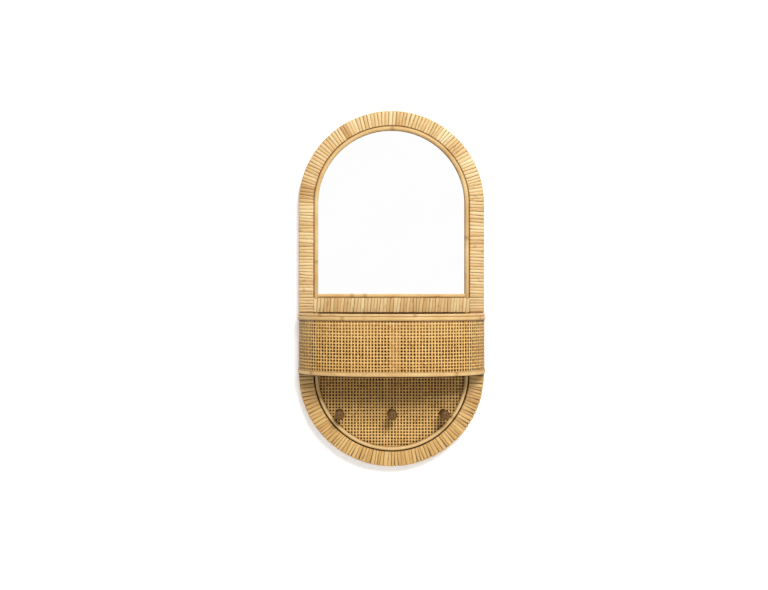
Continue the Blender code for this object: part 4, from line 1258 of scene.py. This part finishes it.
def peg_material():
    """Dark wood with its grain along the peg; the stem is darkened more than the head as painted shade."""
    material, tree, shader = new_material("dark_turned_wood", "peg_wood")
    u, v = uv_parts(tree)
    depth = parts_of(tree, object_place(tree))["Y"]
    place = add_node(tree, "ShaderNodeCombineXYZ", {
        "X": maths(tree, "MULTIPLY", u, 900.0), "Y": maths(tree, "MULTIPLY", v, 420.0),
        "Z": maths(tree, "MULTIPLY", depth, 25.0)}).outputs[0]
    grain = noise(tree, place, 4.0, distortion=0.6)
    colour = ramp(tree, grain, (0.30, (0.046, 0.018, 0.004)), (0.5, (0.135, 0.062, 0.013)),
                  (0.72, (0.26, 0.135, 0.032)))
    # The stem blends towards near black: painted shade.
    stem_painted_shade = map_range(tree, depth, STEM_FRONT, HEAD_BACK, top=0.75)
    colour = blend_colours(tree, stem_painted_shade, colour, (0.045, 0.016, 0.004))
    set_sockets(tree, shader, Base_Color=colour, Roughness=maths(tree, "MULTIPLY_ADD", grain, 0.25, 0.40),
                Normal=bumped(tree, grain, 0.00012), Specular_IOR_Level=0.3)
    return material


stained_peg = peg_material()
outline = [(0, 0), (0.84, 0), (0.86, 0.012)] + smoothed(PEG_OUTLINE, 3)
outline = [(radius * PEG_HEAD_RADIUS, height * PEG_LENGTH) for radius, height in outline]
first_peg = turned("first_peg", outline, 40)
map_flat(first_peg)
set_down(first_peg, turn=(math.pi / 2, 0, 0))
for place, side in (("left", -1), ("middle", 0), ("right", 1)):
    peg = twin(first_peg, place + "_peg_turned")
    set_down(peg, (side * PEG_SPACING, PEG_FOOT_Y, PEG_Z))
    smooth(peg, 40)
    finish_piece(peg, "organiser", stained_peg, "peg_" + place)
bpy.data.objects.remove(first_peg)

# %% [markdown]
# ## Screws
# Three kinds of screw hold the pegs, the pocket and the hangers, all driven from behind. A screw is turned
# like the pegs, with ridges for its thread, and a cross is cut into its head with a Boolean modifier, which
# suits a sunk cut better than pulling faces down.

# %% Make and place the screws
THREAD_PITCH = 0.0013
THREAD_ROOT = 0.72
RECESS_SHARE = 0.58
RECESS_TURN = 0.35


def screw(name, head_radius, head_height, shank_radius, length, countersunk):
    """A screw with its head's top on z = 0 and its tip up at the full length."""
    rim = 0.00035
    outline = [(0, 0), (head_radius * 0.9, 0), (head_radius, rim)]
    outline += [(shank_radius, head_height)] if countersunk else [
        (head_radius, head_height), (shank_radius, head_height)]
    height = head_height + THREAD_PITCH * 0.4
    while height < length - 2 * THREAD_PITCH:
        outline += [(shank_radius * THREAD_ROOT, height), (shank_radius, height + THREAD_PITCH * 0.5)]
        height += THREAD_PITCH
    outline += [(shank_radius * THREAD_ROOT, height), (0, length)]
    made = turned(name, outline, 18)
    for turn in (0, math.pi / 2):
        bpy.ops.mesh.primitive_cube_add(size=1, location=(0, 0, 0), rotation=(0, 0, turn + RECESS_TURN),
                                        scale=(head_radius * 2 * RECESS_SHARE, head_radius * 0.26,
                                               head_height))
        cross = bpy.context.object
        apply_modifier(made, "BOOLEAN", operation="DIFFERENCE", solver="EXACT", object=cross)
        bpy.data.objects.remove(cross)
    set_down(made, turn=(math.pi / 2, 0, 0))
    return made


def steel_material(name, slot, colour, dark, roughness):
    """Plated steel, a little cloudy."""
    material, tree, shader = new_material(name, slot)
    place = object_place(tree)
    fine = noise(tree, place, 2.0, scale=2400.0)
    set_sockets(tree, shader, Metallic=1.0, Normal=bumped(tree, fine, 0.00002),
                Base_Color=ramp(tree, noise(tree, place, 4.0, scale=260.0), (0.3, dark), (0.7, colour)),
                Roughness=maths(tree, "MULTIPLY_ADD", fine, 0.25, roughness))
    return material


zinc_steel = steel_material("zinc_screw", "screw_steel", (0.56, 0.54, 0.48), (0.40, 0.38, 0.33), 0.30)
nickel_steel = steel_material("nickel_hanger", "plated_steel", (0.66, 0.65, 0.61), (0.50, 0.49, 0.46), 0.22)
kinds = (
    ("peg_screw", (0.0032, 0.002, 0.0016, 0.024, True), -0.0041, [
        (place + "_peg_steel_screw", "peg_" + place + "_screw", side * PEG_SPACING, PEG_Z)
        for place, side in (("left", -1), ("middle", 0), ("right", 1))]),
    ("pocket_screw", (0.0035, 0.0024, 0.00175, 0.034, True), -0.0006, [
        (f"{place}_{row}_steel_screw", f"{place}_pocket_{row}_screw", side * across, height)
        for place, side in (("left", -1), ("right", 1))
        for row, across, height in (("rim", 0.16879, -0.0457), ("floor", 0.1654, -0.1285))]),
    ("hanger_screw", (0.0026, 0.0014, 0.0013, 0.0069, False), -0.0021, [
        (f"{place}_{row}_hanger_steel_screw", f"{place}_hanger_{row}_screw", side * 0.095, height)
        for place, side in (("left", -1), ("right", 1))
        for row, height in (("upper", 0.22528), ("lower", 0.21448))]),
)
for kind, sizes, head_y, places in kinds:
    first_screw = screw(kind, *sizes)
    for name, node, across, height in places:
        copied = twin(first_screw, name)
        set_down(copied, (across, head_y, height))
        smooth(copied, 40)
        finish_piece(copied, "organiser", zinc_steel, node)
    bpy.data.objects.remove(first_screw)

# %% [markdown]
# ## Hanger rings
# Each ring is a bent wire, straight at the bottom where the strap holds it and round at the top. A wire is
# best drawn as a curve with a round bevel, which keeps its thickness through every bend, and then turned
# into a mesh. The rings are the only pieces that move, so each rides on its own body.

# %% Bend the rings
RING_WIRE_RADIUS = 0.0011
RING_HALF = 0.0086
RING_SHOULDER = 0.004
RING_CORNER = 0.0024
RING_AXIS = (0.095, -0.0024, 0.235)


def ring_line():
    """The wire's middle line, once round, in the ring's own plane."""
    line = []
    for middle, height, radius, first in (
            (RING_HALF - RING_CORNER, RING_CORNER, RING_CORNER, -90), (0, RING_SHOULDER, RING_HALF, 0),
            (0, RING_SHOULDER, RING_HALF, 90), (-RING_HALF + RING_CORNER, RING_CORNER, RING_CORNER, 180)):
        for step in range(13):
            angle = math.radians(first + 90 * step / 12)
            point = (middle + radius * math.cos(angle), height + radius * math.sin(angle))
            if not line or math.dist(line[-1], point) > 1e-6:
                line.append(point)
    return line


def wire_ring(name):
    data = bpy.data.curves.new(name, "CURVE")
    data.dimensions = "3D"
    data.bevel_depth = RING_WIRE_RADIUS
    data.bevel_resolution = 4
    line = ring_line()
    spline = data.splines.new("POLY")
    spline.points.add(len(line) - 1)
    spline.use_cyclic_u = True
    for point, (across, up) in zip(spline.points, line):
        point.co = (across, 0, up, 1)
    ring = bpy.data.objects.new(name, data)
    bpy.context.scene.collection.objects.link(ring)
    only(ring)
    bpy.ops.object.convert(target="MESH")
    return bpy.context.object


for place, side in (("left", -1), ("right", 1)):
    ring = wire_ring(place + "_wire_ring")
    set_down(ring, (side * RING_AXIS[0], RING_AXIS[1], RING_AXIS[2]))
    smooth(ring, 50)
    finish_piece(ring, place + "_ring", nickel_steel, place + "_hanger_ring")

# %% [markdown]
# ## Finishes of the solid pieces that stay
# The bent cores, dowels, boards, staves, brads, straps and the mirror keep their solid shape and only get a
# finish. Wood is drawn from object coordinates, stretched along the grain. The mirror is silvered glass,
# which a bright metallic surface with hardly any roughness gives.

# %% Wood, boards and mirror
def wood_material(name, slot, dark, light, stretch, rough, gloss=0.5):
    """Bare wood with its grain stretched along X, Y or Z by the smallest of the three scales."""
    material, tree, shader = new_material(name, slot)
    drawn_out = stretched(tree, object_place(tree), stretch)
    grain = noise(tree, drawn_out, 5.0, distortion=0.4)
    pores = noise(tree, drawn_out, 3.0, scale=6.0)
    shade = maths(tree, "MULTIPLY_ADD", pores, 0.3, maths(tree, "MULTIPLY", grain, 0.8))
    set_sockets(tree, shader, Base_Color=ramp(tree, shade, (0.35, dark), (0.75, light)),
                Roughness=maths(tree, "MULTIPLY_ADD", pores, 0.2, rough), Normal=bumped(tree, shade, 0.0001),
                Specular_IOR_Level=gloss)
    return material


def mirror_material():
    """Silvered glass, with the faintest cloud in it."""
    material, tree, shader = new_material("silvered_glass", "mirror_glass")
    cloud = noise(tree, object_place(tree), 3.0, scale=9.0)
    set_sockets(tree, shader, Metallic=1.0, Roughness=maths(tree, "MULTIPLY", cloud, 0.02),
                Base_Color=ramp(tree, cloud, (0.3, (0.975, 0.985, 0.975)), (0.7, (0.985, 0.99, 0.985))))
    return material


def coat(material, nodes):
    """Give solid pieces a finish."""
    for node in nodes:
        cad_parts[node].data.materials.clear()
        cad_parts[node].data.materials.append(material)
    print(material.name, "on", len(nodes), "solid pieces")


# Near black: the board's stain and painted shade, which keeps the panel's holes dark.
board_with_painted_shade = wood_material("stained_board_with_painted_shade", "stained_board", (0.008, 0.0028, 0.0008),
                           (0.024, 0.009, 0.0026), (60, 250, 12), 0.55, 0.06)
finish_piece(board, "organiser", board_with_painted_shade, "lower_back_board")
SIDES = ("left", "right")
WOODS = (
    ("bent_wood", "frame_wood", (0.08, 0.035, 0.011), (0.17, 0.085, 0.03), (25, 90, 90), 0.5, 0.5,
     ("upper_arch_core", "lower_bow_core", "crossbar_core")),
    ("beech_dowel", "dowel_wood", (0.52, 0.34, 0.17), (0.74, 0.55, 0.33), (60, 400, 400), 0.5, 0.5,
     [f"{side}_{joint}_dowel" for side in SIDES for joint in ("upper_bar", "lower_bar", "butt")]),
    ("plain_fibreboard", "plain_board", (0.30, 0.18, 0.085), (0.46, 0.29, 0.15), (180, 180, 180), 0.6, 0.5,
     ("mirror_backing",)),
    # The pocket floor is near black: its stain and painted shade, which keeps the pocket's holes dark.
    ("pocket_floor_board", "plain_board", (0.05, 0.022, 0.007), (0.10, 0.05, 0.018), (40, 260, 260), 0.6,
     0.1, ("pocket_floor",)),
    ("stave_wood", "frame_wood", (0.20, 0.087, 0.015), (0.34, 0.16, 0.034), (300, 300, 20), 0.4, 0.5,
     ("pocket_front_stave",)),
    ("end_stave_wood", "frame_wood", (0.13, 0.065, 0.022), (0.26, 0.145, 0.055), (300, 300, 20), 0.5, 0.5,
     ("left_end_stave", "right_end_stave")),
)
for *looks, nodes in WOODS:
    coat(wood_material(*looks), nodes)
coat(mirror_material(), ("mirror",))
coat(zinc_steel, [f"{board}_brad_{side}_{place}" for board in ("backing", "board") for side in SIDES
                  for place in ("leg", "arc")])
coat(nickel_steel, ("left_hanger_strap", "right_hanger_strap"))
